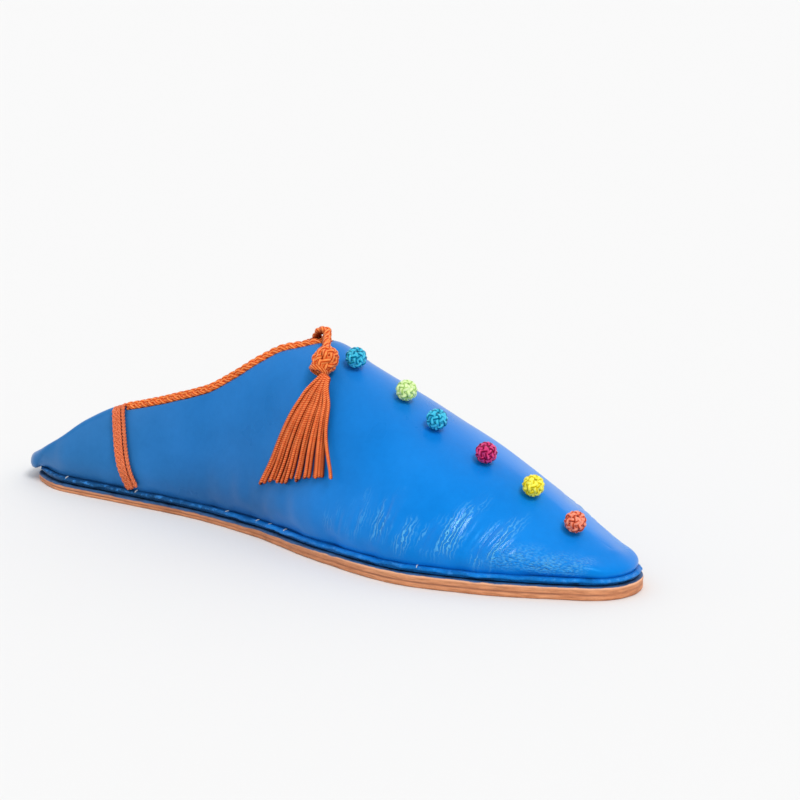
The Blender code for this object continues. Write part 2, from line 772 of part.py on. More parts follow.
def build_tassel_head(collection):
    """The knot that binds the strands, a little longer than it is wide."""
    top = strand_point(0.5, 0.0, TASSEL_KNOT_RADIUS)
    low = strand_point(0.5, 0.35, TASSEL_KNOT_RADIUS)
    work = bmesh.new()
    bmesh.ops.create_uvsphere(work, u_segments=12, v_segments=8, radius=TASSEL_KNOT_RADIUS)
    for vert in work.verts:
        turn = math.atan2(vert.co.y, vert.co.x)
        lobes = 1 + BUTTON_RELIEF * math.cos(5 * turn)
        vert.co = Vector((vert.co.x * lobes, vert.co.y * lobes, vert.co.z * TASSEL_KNOT_LENGTHENING))
    mesh = bpy.data.meshes.new("tassel_head")
    work.to_mesh(mesh)
    work.free()
    made = add_object("tassel_head", mesh, "orange_silk", collection)
    made.rotation_mode = "QUATERNION"
    made.rotation_quaternion = (top - low).to_track_quat("Z", "Y")
    made.location = tassel_knot_centre()
    return made


def build_tassel_loop(collection):
    """The cord that holds the tassel: from inside the throat, over the collar cord's peak, to the knot."""
    throat = arch(girth_at(OPENING[-1][0]), 1.0)
    knot = tassel_knot_centre()
    peak = throat + Vector((-WALL / 2 - GAP - BRAID_RADIUS, 0, BRAID_RADIUS * 0.5))
    points = []
    steps = 7
    for k in range(steps + 1):
        angle = math.radians(20 + 95 * k / steps)
        around = Vector((-math.cos(angle), 0, math.sin(angle)))
        points.append(peak + LOOP_REACH * around + Vector((0, -LOOP_RADIUS * k / steps, 0)))
    toward = (points[-1] - knot).normalized()
    points.append(knot + toward * (TASSEL_KNOT_RADIUS * 1.10 + GAP))
    line = even_points(points, LOOP_STEP)
    return tube("tassel_loop", line, lambda k: (LOOP_RADIUS, LOOP_RADIUS), 8, "orange_silk", collection,
                upward=Vector((0, 1, 0)))


def main():
    for obj in list(bpy.data.objects):
        bpy.data.objects.remove(obj)
    slipper = bpy.data.collections.new("babouche_slipper")
    helpers = bpy.data.collections.new("helpers")
    for made in (slipper, helpers):
        bpy.context.scene.collection.children.link(made)
    build_outsole(slipper)
    build_rand(slipper)
    build_insole(slipper)
    build_upper(slipper, helpers)
    build_collar_braid(slipper)
    build_side_braid("side_braid_left", LEFT, slipper)
    build_side_braid("side_braid_right", RIGHT, slipper)
    for number, row in enumerate(BUTTONS, start=1):
        build_button(f"button_{number}", row, slipper)
    build_tassel_loop(slipper)
    build_tassel_head(slipper)
    build_tassel_skirt(slipper)


main()
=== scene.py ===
import math

import bmesh
import bpy
import numpy as np
from mathutils import Matrix, Vector


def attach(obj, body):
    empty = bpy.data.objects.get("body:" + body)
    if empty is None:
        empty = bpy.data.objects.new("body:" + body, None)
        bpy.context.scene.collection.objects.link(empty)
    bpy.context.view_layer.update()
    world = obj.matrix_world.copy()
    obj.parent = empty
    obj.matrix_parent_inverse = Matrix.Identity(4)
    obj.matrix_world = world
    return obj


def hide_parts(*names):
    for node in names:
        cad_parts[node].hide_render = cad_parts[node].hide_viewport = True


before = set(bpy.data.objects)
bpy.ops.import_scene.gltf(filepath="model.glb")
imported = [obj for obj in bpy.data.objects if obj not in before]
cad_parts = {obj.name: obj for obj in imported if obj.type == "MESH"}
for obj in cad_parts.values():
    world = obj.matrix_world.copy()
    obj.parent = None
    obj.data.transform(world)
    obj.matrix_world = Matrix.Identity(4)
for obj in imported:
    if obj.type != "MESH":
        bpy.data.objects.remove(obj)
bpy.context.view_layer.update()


# The slipper's place before the lens. It stands on a pale studio floor with its toe to the right, and a long
# lens looks at its right side from ankle height, rolled by one degree.
look_at = Vector((0.0357, 0.0, 0.0536))
lens_azimuth, lens_height, lens_roll = math.radians(35.96), math.radians(13.46), math.radians(1.0)
lens_distance = 0.9442
toward_lens = Vector((
    math.sin(lens_azimuth) * math.cos(lens_height),
    -math.cos(lens_azimuth) * math.cos(lens_height),
    math.sin(lens_height),
))
lens = bpy.data.cameras.new("lens")
lens.lens = 117.0
lens.sensor_width = 36.0
lens.clip_start = 0.02
camera = bpy.data.objects.new("camera", lens)
turned = toward_lens.to_track_quat("Z", "Y").to_matrix().to_4x4() @ Matrix.Rotation(lens_roll, 4, "Z")
camera.matrix_world = Matrix.Translation(look_at + toward_lens * lens_distance) @ turned
bpy.context.collection.objects.link(camera)
bpy.context.scene.camera = camera
bpy.context.scene.view_settings.view_transform = "Standard"
bpy.context.scene.view_settings.look = "None"


def node_in(tree, kind, inputs=None, **settings):
    """A shader node with its settings and inputs. An input is a value, or the output of another node."""
    made = tree.nodes.new(kind)
    for name, value in settings.items():
        setattr(made, name, value)
    for name, value in (inputs or {}).items():
        if isinstance(value, bpy.types.NodeSocket):
            tree.links.new(value, made.inputs[name])
        else:
            made.inputs[name].default_value = value
    return made


def math_in(tree, operation, *values):
    """What a sum makes of values or other nodes' outputs."""
    return node_in(tree, "ShaderNodeMath", dict(enumerate(values)), operation=operation).outputs[0]


def range_in(tree, value, low, high, to_low=0.0, to_high=1.0, **settings):
    """A value moved from one range into another, and held inside it."""
    ends = {"Value": value, "From Min": low, "From Max": high, "To Min": to_low, "To Max": to_high}
    return node_in(tree, "ShaderNodeMapRange", ends, **settings).outputs["Result"]


def finish_named(name, roughness, **settings):
    """A new material: its node tree and its Principled BSDF, with the values that are the same all over."""
    made = bpy.data.materials.new(name)
    made.use_nodes = True
    shader = made.node_tree.nodes["Principled BSDF"]
    shader.inputs["Roughness"].default_value = roughness
    for socket, value in settings.items():
        shader.inputs[socket.replace("_", " ")].default_value = value
    return made, made.node_tree, shader


# the way from the lens to the backdrop, and the sky's strength around the lens and behind the slipper
backdrop_way = (-0.52, 0.72, 0.46)
sky_turns_from, sky_turned_at = 0.10, 0.62
sky_near, sky_far = 0.69, 0.98
sky = bpy.data.worlds.new("studio")
sky.use_nodes = True
sky_tree = sky.node_tree
sky_way = node_in(sky_tree, "ShaderNodeTexCoord").outputs["Generated"]
behind = node_in(sky_tree, "ShaderNodeVectorMath", {0: sky_way, 1: backdrop_way}, operation="DOT_PRODUCT")
sky_strength = range_in(
    sky_tree, behind.outputs["Value"], sky_turns_from, sky_turned_at, sky_near, sky_far,
    interpolation_type="SMOOTHSTEP",
)
sky_tree.links.new(sky_strength, sky_tree.nodes["Background"].inputs["Strength"])
sky_tree.nodes["Background"].inputs["Color"].default_value = (1.0, 1.0, 1.0, 1.0)
bpy.context.scene.world = sky

key_strength, key_width, key_from = 1.35, math.radians(22), Vector((0.52, -0.22, 0.82))
key = bpy.data.lights.new("key", "SUN")
key.energy = key_strength
key.angle = key_width
key_lamp = bpy.data.objects.new("key", key)
key_lamp.rotation_euler = key_from.to_track_quat("Z", "Y").to_euler()
bpy.context.collection.objects.link(key_lamp)

floor_half, floor_tone = 6.0, 0.80
floor_finish, _, floor_shader = finish_named("floor_paper", 0.9)
floor_shader.inputs["Base Color"].default_value = (floor_tone, floor_tone, floor_tone, 1.0)
floor_corners = [(x * floor_half, y * floor_half, 0) for x, y in ((-1, -1), (1, -1), (1, 1), (-1, 1))]
floor_mesh = bpy.data.meshes.new("floor")
floor_mesh.from_pydata(floor_corners, [], [(0, 1, 2, 3)])
floor_mesh.materials.append(floor_finish)
floor = bpy.data.objects.new("floor", floor_mesh)
bpy.context.collection.objects.link(floor)


# Outsole. One thick vegetable-tanned leather, cut to the last's outline with a knife. It is thinner at the
# heel, its edge is left raw with a channel cut along it for the stitches, and its flesh side is the tread.
mm = 0.001
sole_length = 0.270
ball_half_width = 0.043
heel_overhang = 0.0050
heel_x = -(sole_length - heel_overhang) / 2
heel_sole, fore_sole = 0.0030, 0.0048
sole_thickens_from, sole_thickens_over = 0.30, 0.50
piece_gap = 0.0003
# share of the length, share of the ball's half width
outline_table = (
    (0.000, 0.000), (0.030, 0.500), (0.100, 0.656), (0.200, 0.618), (0.330, 0.580), (0.450, 0.660),
    (0.600, 0.900), (0.720, 1.000), (0.830, 0.830), (0.930, 0.515), (0.985, 0.275), (1.000, 0.000),
)


def ease(share):
    """From 0 to 1 with a soft start and end."""
    share = np.clip(share, 0.0, 1.0)
    return share * share * (3 - 2 * share)


def through(rows, at, squared=False):
    """A monotone cubic through a table's two columns, or through their squares where a width ends round."""
    xs, ys = (np.array(column, float) for column in zip(*rows))
    ys = ys**2 if squared else ys
    rises = np.diff(ys) / np.diff(xs)
    slopes = np.concatenate([rises[:1], np.zeros(len(rises) - 1), rises[-1:]])
    same = rises[:-1] * rises[1:] > 0
    slopes[1:-1][same] = (2 * rises[:-1] * rises[1:])[same] / (rises[:-1] + rises[1:])[same]
    at = np.clip(np.asarray(at, float), xs[0], xs[-1])
    i = np.clip(np.searchsorted(xs, at, side="right") - 1, 0, len(xs) - 2)
    step = xs[i + 1] - xs[i]
    u = (at - xs[i]) / step
    value = ys[i] * (1 + 2 * u) * (1 - u) ** 2 + ys[i + 1] * u * u * (3 - 2 * u)
    value = np.maximum(value + step * (slopes[i] * u * (1 - u) ** 2 - slopes[i + 1] * u * u * (1 - u)), 0)
    return np.sqrt(value) if squared else value


def share_at(x):
    return (x - heel_x) / sole_length


def sole_top(x):
    return heel_sole + (fore_sole - heel_sole) * ease((share_at(x) - sole_thickens_from) / sole_thickens_over)


def gone_along(line):
    """How far each point of a line is from its start."""
    return np.concatenate([[0], np.cumsum(np.linalg.norm(np.diff(line, axis=0), axis=1))])


def unit(vectors):
    return vectors / np.linalg.norm(vectors, axis=-1, keepdims=True)


outline_stations = 601
outline_share = 0.5 - 0.5 * np.cos(np.pi * np.linspace(0, 1, outline_stations))
outline_points = np.stack([
    heel_x + outline_share * sole_length,
    ball_half_width * through(outline_table, outline_share, squared=True),
    np.zeros(outline_stations),
], -1)
outline_lengths = gone_along(outline_points)
half_girth = outline_lengths[-1]
outline_along = np.concatenate([
    outline_points[1:2] - outline_points[:1], outline_points[2:] - outline_points[:-2],
    outline_points[-1:] - outline_points[-2:-1],
])
outline_normals = unit(np.stack([-outline_along[:, 1], outline_along[:, 0], np.zeros(outline_stations)], -1))
outline_normals[0] = (-1, 0, 0)
outline_normals[-1] = (1, 0, 0)


def on_outline(girth):
    """The outline's point and outward normal at a share of its half girth, from heel to toe, on the left."""
    at = np.clip(girth, 0, 1) * half_girth
    point = np.stack([np.interp(at, outline_lengths, outline_points[:, k]) for k in range(3)], -1)
    normal = np.stack([np.interp(at, outline_lengths, outline_normals[:, k]) for k in range(3)], -1)
    return point, unit(normal)


def girth_at(share):
    """The share of the half girth at a share of the sole's length."""
    x = heel_x + np.asarray(share) * sole_length
    return np.interp(x, outline_points[:, 0], outline_lengths) / half_girth


def soft_noise(places, size, seed):
    """Smooth noise, mostly between -1 and 1, from a few crossed waves of about this size."""
    count, luck = 7, np.random.default_rng(seed)
    total = np.zeros(places.shape[:-1])
    for _ in range(count):
        heading = unit(luck.normal(size=3))
        total += np.sin(places @ heading * (2 * np.pi / size * luck.uniform(0.6, 1.6)) + luck.uniform(0, 6.28))
    return 2 * total / count


def waved(places, waves, seed=0):
    """Soft noises added up, each given as its size, its height and its seed."""
    return sum(soft_noise(places, size, start + seed) * height for size, height, start in waves)


def mesh_of_grids(name, grids, closed_rows=False, uv=False):
    """One mesh over grids of points. Its map runs across a row in shares and along the rows in millimetres."""
    places, faces, maps, start = [], [], [], 0
    for grid in grids:
        rows, columns = grid.shape[:2]
        index = start + np.arange(rows * columns).reshape(rows, columns)
        if closed_rows:
            index = np.concatenate([index, index[:, :1]], 1)
        quads = np.stack([index[:-1, :-1], index[:-1, 1:], index[1:, 1:], index[1:, :-1]], -1).reshape(-1, 4)
        faces.append(quads)
        places.append(grid.reshape(-1, 3))
        if uv:
            across = np.arange(index.shape[1]) / (index.shape[1] - 1)
            along = gone_along(grid.mean(1)) / mm
            u = np.stack([across[:-1], across[1:], across[1:], across[:-1]], -1)
            v = np.stack([along[:-1], along[:-1], along[1:], along[1:]], -1)
            u = np.broadcast_to(u[None], (rows - 1, len(u), 4))
            v = np.broadcast_to(v[:, None], u.shape)
            maps.append(np.stack([u, v], -1).reshape(-1, 2))
        start += rows * columns
    places, faces = np.concatenate(places), np.concatenate(faces)
    mesh = bpy.data.meshes.new(name)
    mesh.vertices.add(len(places))
    mesh.vertices.foreach_set("co", places.astype(np.float32).ravel())
    mesh.loops.add(faces.size)
    mesh.loops.foreach_set("vertex_index", faces.astype(np.int32).ravel())
    mesh.polygons.add(len(faces))
    mesh.polygons.foreach_set("loop_start", np.arange(0, faces.size, 4, dtype=np.int32))
    if uv:
        layer = mesh.uv_layers.new(name="thread")
        layer.data.foreach_set("uv", np.concatenate(maps).astype(np.float32).ravel())
    mesh.update(calc_edges=True)
    mesh.validate()
    mesh.shade_smooth()
    return mesh


def mark(mesh, name, values):
    """Marks every point of a mesh with a value that its material reads by this name."""
    mesh.attributes.new(name, "FLOAT", "POINT").data.foreach_set("value", np.asarray(values, np.float32))


def welded(mesh, reach=1e-6):
    """The same mesh with its touching points joined and its faces turned out."""
    work = bmesh.new()
    work.from_mesh(mesh)
    bmesh.ops.remove_doubles(work, verts=work.verts, dist=reach)
    bmesh.ops.dissolve_degenerate(work, edges=work.edges, dist=reach)
    bmesh.ops.recalc_face_normals(work, faces=work.faces)
    work.to_mesh(mesh)
    work.free()
    mesh.shade_smooth()
    return mesh


def piece_of(name, mesh, finishes, slot, *replaced):
    """A piece of the slipper: it rides on the body, has its finishes, and stands for these solids."""
    made = bpy.data.objects.new(name, mesh)
    for finish in finishes:
        mesh.materials.append(finish)
    bpy.context.collection.objects.link(made)
    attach(made, "root")
    if replaced:
        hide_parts(*replaced)
    return made


def both_sides(half):
    """A grid on the left half, and its mirror image on the right."""
    return [half, half * (1, -1, 1)]


def place_in(tree, scale=(1.0, 1.0, 1.0)):
    """The place on the slipper, stretched where a grain runs one way."""
    where = node_in(tree, "ShaderNodeTexCoord").outputs["Object"]
    if scale == (1.0, 1.0, 1.0):
        return where
    return node_in(tree, "ShaderNodeMapping", {"Vector": where, "Scale": scale}).outputs["Vector"]


def mark_in(tree, name):
    return node_in(tree, "ShaderNodeAttribute", attribute_name=name).outputs["Fac"]


def noise_in(tree, place, scale, detail, roughness=0.5):
    inputs = {"Vector": place, "Scale": scale, "Detail": detail, "Roughness": roughness}
    return node_in(tree, "ShaderNodeTexNoise", inputs).outputs["Fac"]


def group_named(name, inputs, outputs):
    """A new group with its sockets: the inputs are (name, socket type, start), the outputs are numbers."""
    tree = bpy.data.node_groups.new(name, "ShaderNodeTree")
    for socket_name, kind, start in inputs:
        socket = tree.interface.new_socket(socket_name, in_out="INPUT", socket_type=kind)
        if start is not None:
            socket.default_value = start
    for socket_name in outputs:
        tree.interface.new_socket(socket_name, in_out="OUTPUT", socket_type="NodeSocketFloat")
    return tree, tree.nodes.new("NodeGroupInput").outputs, tree.nodes.new("NodeGroupOutput").inputs


def hide_group():
    """Shared by every leather here: pores, broken grain and slow drifts of tone over a hide."""
    tree, given, result = group_named("hide", (
        ("Place", "NodeSocketVector", None), ("Pore Size", "NodeSocketFloat", 0.5),
        ("Drift Size", "NodeSocketFloat", 25.0),
    ), ("Grain", "Drift", "Fleck"))
    pore_scale = math_in(tree, "DIVIDE", 1000.0, given["Pore Size"])
    drift_scale = math_in(tree, "DIVIDE", 1000.0, given["Drift Size"])
    pores = node_in(
        tree, "ShaderNodeTexVoronoi", {"Vector": given["Place"], "Scale": pore_scale}, feature="SMOOTH_F1",
    )
    wander = noise_in(tree, given["Place"], pore_scale, 3.0, 0.6)
    tree.links.new(math_in(tree, "ADD", pores.outputs["Distance"], wander), result["Grain"])
    tree.links.new(noise_in(tree, given["Place"], drift_scale, 4.0, 0.55), result["Drift"])
    tree.links.new(noise_in(tree, given["Place"], 420.0, 2.0, 0.7), result["Fleck"])
    return tree


hide = hide_group()


def hide_in(tree, pore_size, drift_size):
    """The hide group in a material, with the size in millimetres of this leather's pores and drifts."""
    inputs = {"Pore Size": pore_size, "Drift Size": drift_size, "Place": place_in(tree)}
    return node_in(tree, "ShaderNodeGroup", inputs, node_tree=hide).outputs


def ramp_in(tree, value, *stops):
    """A colour ramp between stops of (place, red, green, blue)."""
    ramp = node_in(tree, "ShaderNodeValToRGB", {"Fac": value})
    while len(ramp.color_ramp.elements) < len(stops):
        ramp.color_ramp.elements.new(0.5)
    for element, (at, *colour) in zip(ramp.color_ramp.elements, stops):
        element.position = at
        element.color = (*colour, 1.0)
    return ramp.outputs["Color"]


def mix_in(tree, share, first, second, blend="MIX"):
    """Two colours mixed. The share and each colour are given, or are another node's output."""
    mixed = node_in(tree, "ShaderNodeMix", data_type="RGBA", blend_type=blend)
    for socket, value in zip((mixed.inputs[0], mixed.inputs[6], mixed.inputs[7]), (share, first, second)):
        if isinstance(value, bpy.types.NodeSocket):
            tree.links.new(value, socket)
        else:
            socket.default_value = value if isinstance(value, float) else (*value, 1.0)
    return mixed.outputs[2]


def bump_in(tree, height, distance, strength=1.0, below=None):
    """A bump of this height, laid over the bump below it."""
    made = node_in(tree, "ShaderNodeBump", {"Height": height, "Distance": distance, "Strength": strength})
    if below is not None:
        tree.links.new(below, made.inputs["Normal"])
    return made.outputs["Normal"]


def tan_leather():
    """Raw tan leather. Its cut edge shows fibre along its length, dark in the channel and pale at the top, and
    the rand's blue dye has run over the top of the edge."""
    made, tree, shader = finish_named("tan_sole_leather", 0.62, Coat_Weight=0.06, Coat_Roughness=0.4)
    leather = hide_in(tree, 0.8, 22.0)
    fibre = noise_in(tree, place_in(tree, (0.12, 0.12, 1.0)), 1500.0, 4.0, 0.65)
    tone = ramp_in(
        tree, leather["Drift"],
        (0.30, 0.54, 0.200, 0.080), (0.52, 0.76, 0.305, 0.135), (0.72, 0.88, 0.400, 0.195),
    )
    shade = ramp_in(tree, fibre, (0.30, 0.52, 0.43, 0.36), (0.58, 1.0, 1.0, 1.0))
    stroked = mix_in(tree, 0.80, tone, shade, "MULTIPLY")
    worn_shut = ramp_in(tree, leather["Drift"], (0.42, 0.15, 0.15, 0.15), (0.60, 0.85, 0.85, 0.85))
    channel = math_in(tree, "MULTIPLY", mark_in(tree, "channel"), worn_shut)
    grooved = mix_in(tree, channel, stroked, (0.34, 0.120, 0.060))
    edged = mix_in(tree, mark_in(tree, "lip"), grooved, (0.93, 0.50, 0.29))
    ragged = math_in(tree, "MULTIPLY_ADD", fibre, 1.6, -0.80)
    stain = range_in(tree, math_in(tree, "ADD", mark_in(tree, "dyed"), ragged), 0.35, 0.65)
    dye = ramp_in(tree, fibre, (0.35, 0.006, 0.035, 0.110), (0.62, 0.030, 0.120, 0.300))
    tree.links.new(mix_in(tree, stain, edged, dye), shader.inputs["Base Color"])
    grain = bump_in(tree, leather["Grain"], 0.00008, 0.5)
    tree.links.new(bump_in(tree, fibre, 0.00025, 0.6, grain), shader.inputs["Normal"])
    return made


channel_at = 0.42
# inset in millimetres, share of the sole's height, how much channel and pale lip, from the tread up
edge_rings = (
    (0.7, 0.00, 0, 0), (0.2, 0.05, 0, 0), (0.0, 0.16, 0, 0), (0.0, channel_at - 0.10, 0, 0),
    (0.25, channel_at - 0.03, 1, 0), (0.25, channel_at + 0.03, 1, 0), (0.0, channel_at + 0.10, 0, 0),
    (-0.03, 0.60, 0, 0), (-0.04, 0.68, 0, 0), (-0.05, 0.78, 0, 0), (0.05, 0.90, 0, 0.8),
    (0.45, 1.00, 0, 1.0), (1.6, 1.00, 0, 0.5), (4.0, 1.0, 0, 0),
)
first_rough_ring, last_rough_ring = 2, 11
# the share of the edge's height where the dye ends, at the heel and at the forefoot
dye_ends_rear, dye_ends_fore = 0.77, 0.94
dye_thins_from, dye_thins_over, dye_softness = -0.040, 0.105, 0.12
edge_waves = ((0.007, 0.00010, 3), (0.0022, 0.00005, 4))


def sole_levels(x):
    """Rings round the edge from the tread up: inset, height, how much channel, pale lip and dye each has."""
    dye_ends = dye_ends_rear + (dye_ends_fore - dye_ends_rear) * ease((x - dye_thins_from) / dye_thins_over)
    return [
        (inset * mm, share * sole_top(x), channel, lip,
         float(np.clip((share - dye_ends) / dye_softness + 0.5, 0, 1)))
        for inset, share, channel, lip in edge_rings
    ]


sole_stations = 240
sole_rows, sole_marks = [], []
for k in range(sole_stations + 1):
    point, normal = on_outline(k / sole_stations)
    ring = [(point[0] - edge_rings[-1][0] * mm * normal[0], 0.0, 0.0)]
    marks = [(0, 0, 0)]
    for inset, height, *marked in sole_levels(point[0]):
        place = point - inset * normal
        ring.append((place[0], max(place[1], 0.0), height))
        marks.append(marked)
    ring.append((ring[-1][0], 0.0, ring[-1][2]))
    marks.append((0, 0, 0))
    sole_rows.append(ring)
    sole_marks.append(marks)
sole_half = np.array(sole_rows)
rings = np.arange(sole_half.shape[1])
rough_rings = (rings >= first_rough_ring) & (rings <= last_rough_ring)
side_push = on_outline(np.arange(sole_stations + 1) / sole_stations)[1][:, None, :]
sole_push = side_push * (waved(sole_half, edge_waves) * rough_rings * (sole_half[..., 1] > 1e-7))[..., None]
outsole_mesh = mesh_of_grids("outsole_leather", both_sides(sole_half + sole_push))
for name, values in zip(("channel", "lip", "dyed"), np.concatenate(sole_marks * 2).T):
    mark(outsole_mesh, name, values)
piece_of("outsole_leather", welded(outsole_mesh), [tan_leather()], "sole_leather", "outsole")


# Rand. A strip of the blue leather, folded over and sewn between the sole and the upper. Its outer fold is
# painted with highlight specks, its parts tucked into the creases above and below are nearly black, partly
# with dye and partly with painted shade, and it waves a little from stitch to stitch.
rand_thickness = 0.0023
rand_width = 0.0042
rand_edge = 0.0006
# inset and height in shares of the rand's width and thickness, how dark with dye and painted crease shade, how
# much painted highlight
rand_section = (
    (1.00, 0.00, 1, 0), (0.45, 0.00, 1, 0), (0.22, 0.06, 1, 0), (0.16, 0.26, 1, 0), (0.20, 0.38, 1, 0),
    (0.07, 0.44, 0.3, 0), (0.00, 0.58, 0, 0.7), (0.02, 0.76, 0, 1), (0.10, 0.92, 0, 1), (0.28, 1.00, 0, 0.3),
    (0.50, 1.00, 0.6, 0), (1.00, 1.00, 1, 0),
)
rand_waves = ((0.009, 0.00026, 11), (0.0028, 0.00016, 13))
rand_lifts = ((0.012, 0.00018, 15),)
rear_darkness, rear_from, rear_over = 0.85, 0.012, 0.075


def blue_dye(tree, leather, dark, middle, light):
    return ramp_in(tree, leather["Drift"], (0.28, *dark), (0.50, *middle), (0.74, *light))


def rand_leather():
    """The upper's leather, darker at the rear, nearly black with dye and painted shade where it is tucked into
    the creases, and with painted highlight specks along its fold.
    """
    made, tree, shader = finish_named("rand_blue_leather", 0.45, Specular_Tint=(0.12, 0.62, 1.0, 1.0))
    leather = hide_in(tree, 0.6, 9.0)
    dye = blue_dye(tree, leather, (0.003, 0.105, 0.370), (0.004, 0.175, 0.600), (0.010, 0.250, 0.800))
    dye = mix_in(tree, mark_in(tree, "rear"), dye, (0.008, 0.045, 0.130))
    torn = ramp_in(tree, leather["Drift"], (0.40, 0.30, 0.30, 0.30), (0.60, 1.0, 1.0, 1.0))
    # painted shade: the parts tucked into the creases are darkened nearly to black, partly as dye
    dark = math_in(tree, "MULTIPLY", mark_in(tree, "dye_and_crease_shade"), torn)
    crease_darkened = mix_in(tree, dark, dye, (0.002, 0.020, 0.080))
    # painted highlight: pale specks along the outer fold
    specks = ramp_in(tree, leather["Fleck"], (0.52, 0.0, 0.0, 0.0), (0.70, 0.8, 0.8, 0.8))
    fold_glints = math_in(tree, "MULTIPLY", mark_in(tree, "fold_highlight"), specks)
    tree.links.new(mix_in(tree, fold_glints, crease_darkened, (0.05, 0.30, 0.80)), shader.inputs["Base Color"])
    tree.links.new(bump_in(tree, leather["Grain"], 0.00022, 0.8), shader.inputs["Normal"])
    return made


def raised(places, height):
    """Places of the outline at a height over the floor."""
    return places * (1, 1, 0) + np.asarray(height)[:, None] * (0, 0, 1)


rand_stations = 340
rand_point, rand_normal = on_outline(np.linspace(0, 1, rand_stations + 1))
rand_columns = []
for inset, height, _, _ in rand_section:
    place = rand_point - (rand_edge + inset * rand_width) * rand_normal
    rand_columns.append(raised(place, sole_top(place[:, 0]) + piece_gap + height * rand_thickness))
rand_half = np.stack(rand_columns, 1)
rand_half[..., 1] = np.maximum(rand_half[..., 1], 0)
outer_share = np.array([row[2] < 0.5 for row in rand_section], float)
rand_grids = []
for seed, (grid, side) in enumerate(zip(both_sides(rand_half), (1, -1))):
    push = waved(grid, rand_waves, seed) * outer_share
    rough = grid + (rand_normal[:, None, :] * (1, side, 1)) * push[..., None]
    rough[..., 2] += waved(grid, rand_lifts, seed) * outer_share
    rough[[0, -1]] = grid[[0, -1]]
    rand_grids.append(rough)
rand_mesh = mesh_of_grids("rand_strip", rand_grids, closed_rows=True)
for name, column in (("dye_and_crease_shade", 2), ("fold_highlight", 3)):
    mark(rand_mesh, name, np.tile([row[column] for row in rand_section], 2 * (rand_stations + 1)))
rand_x = np.concatenate([grid[..., 0].ravel() for grid in rand_grids])
mark(rand_mesh, "rear", rear_darkness * ease((rear_from - rand_x) / rear_over))
piece_of("rand_strip", welded(rand_mesh), [rand_leather()], "rand_leather", "rand")


# Insole. A light board covered with thin natural leather, pasted to the sole inside the rand. The foot has
# darkened and polished it under the heel and the ball.
insole_thickness = 0.0032
insole_inset = rand_edge + rand_width + piece_gap
# share of the width and share of the thickness, round the edge from below
insole_edge_rings = ((1.0, 0.0), (1.0, 0.72), (0.995, 0.92), (0.985, 1.0))
# where the foot has pressed: x of the middle, reach along and across, how dark
footprints = ((-0.100, 0.022, 0.016, 0.75), (0.050, 0.034, 0.026, 0.65))


def natural_leather(name, base, pressed):
    """Undyed leather, darker where the mesh is marked as pressed."""
    made, tree, shader = finish_named(name, 0.68)
    leather = hide_in(tree, 0.7, 30.0)
    dark, light = (0.72 * c for c in base), (1.2 * c for c in base)
    tone = ramp_in(tree, leather["Drift"], (0.30, *dark), (0.55, *base), (0.75, *light))
    tree.links.new(mix_in(tree, mark_in(tree, "pressed"), tone, pressed), shader.inputs["Base Color"])
    tree.links.new(bump_in(tree, leather["Grain"], 0.00012, 0.7), shader.inputs["Normal"])
    return made


insole_stations = 160
insole_point, insole_normal = on_outline(np.linspace(0, 1, insole_stations + 1))
insole_edge = insole_point - insole_inset * insole_normal
insole_edge[:, 1] = np.maximum(insole_edge[:, 1], 0)
insole_low = sole_top(insole_edge[:, 0]) + piece_gap
insole_shape = [(0.0, 0.0), *insole_edge_rings]
insole_shape += [(insole_edge_rings[-1][0] * share, 1.0) for share in np.linspace(0, 1, 22)[::-1][1:]]
insole_half = np.stack([
    raised(insole_edge * (1, share, 1), insole_low + rise * insole_thickness) for share, rise in insole_shape
], 1)
insole_grids = both_sides(insole_half)
insole_mesh = mesh_of_grids("insole_leather", insole_grids)
flat = np.concatenate([grid.reshape(-1, 3) for grid in insole_grids])
trodden = sum(
    dark * np.exp(-(((flat[:, 0] - x) / along) ** 2 + (flat[:, 1] / across) ** 2))
    for x, along, across, dark in footprints
)
mark(insole_mesh, "pressed", np.clip(trodden, 0, 1))
insole_finish = natural_leather("insole_natural_leather", (0.56, 0.40, 0.26), (0.26, 0.16, 0.095))
piece_of("insole_leather", welded(insole_mesh), [insole_finish], "insole_leather", "insole")


# Upper. Vamp and counter are two pieces of smooth dyed leather with a natural lining. They are lasted, sewn to
# the rand and lapped at the side seams. The back is trodden flat, and the forefoot creases over the ball.
wall = 0.0015
foot_inset, foot_lift = 0.0036, 0.0005
belly_depth, belly_reach, belly_share, belly_lift = 0.0024, 0.026, 0.9, 0.6
throat_height = 0.0702
fan_start, fan_depth, toe_belly_loss = 0.90, 0.0090, 0.6
toe_section_power, sharpens_from, sharp_at = 1.5, 0.70, 0.90
seam_at, seam_lean, lean_ends_at = 0.228, 0.48, 0.42
seam_lap, seam_step = 0.0025, 0.0006
counter_height = 0.0365
fold_radius, lip_reach = 0.00095, 0.0018
back_flattens_from = 0.085
flap_slope, flap_inward = math.radians(48), 0.0035
lip_bottom, lip_start = 0.0041, 0.0003
# share of the length, share of the throat's height
ridge_table = (
    (0.000, 0.540), (0.100, 0.580), (0.173, 0.655), (0.207, 0.722), (0.252, 0.822), (0.296, 0.922),
    (0.338, 0.980), (0.378, 0.992), (0.420, 0.996), (0.448, 1.004), (0.477, 1.002), (0.502, 1.000),
    (0.552, 0.915), (0.600, 0.838), (0.633, 0.785), (0.689, 0.685), (0.741, 0.600), (0.815, 0.486),
    (0.852, 0.418), (0.889, 0.342), (0.926, 0.264), (0.962, 0.200), (1.000, 0.163),
)
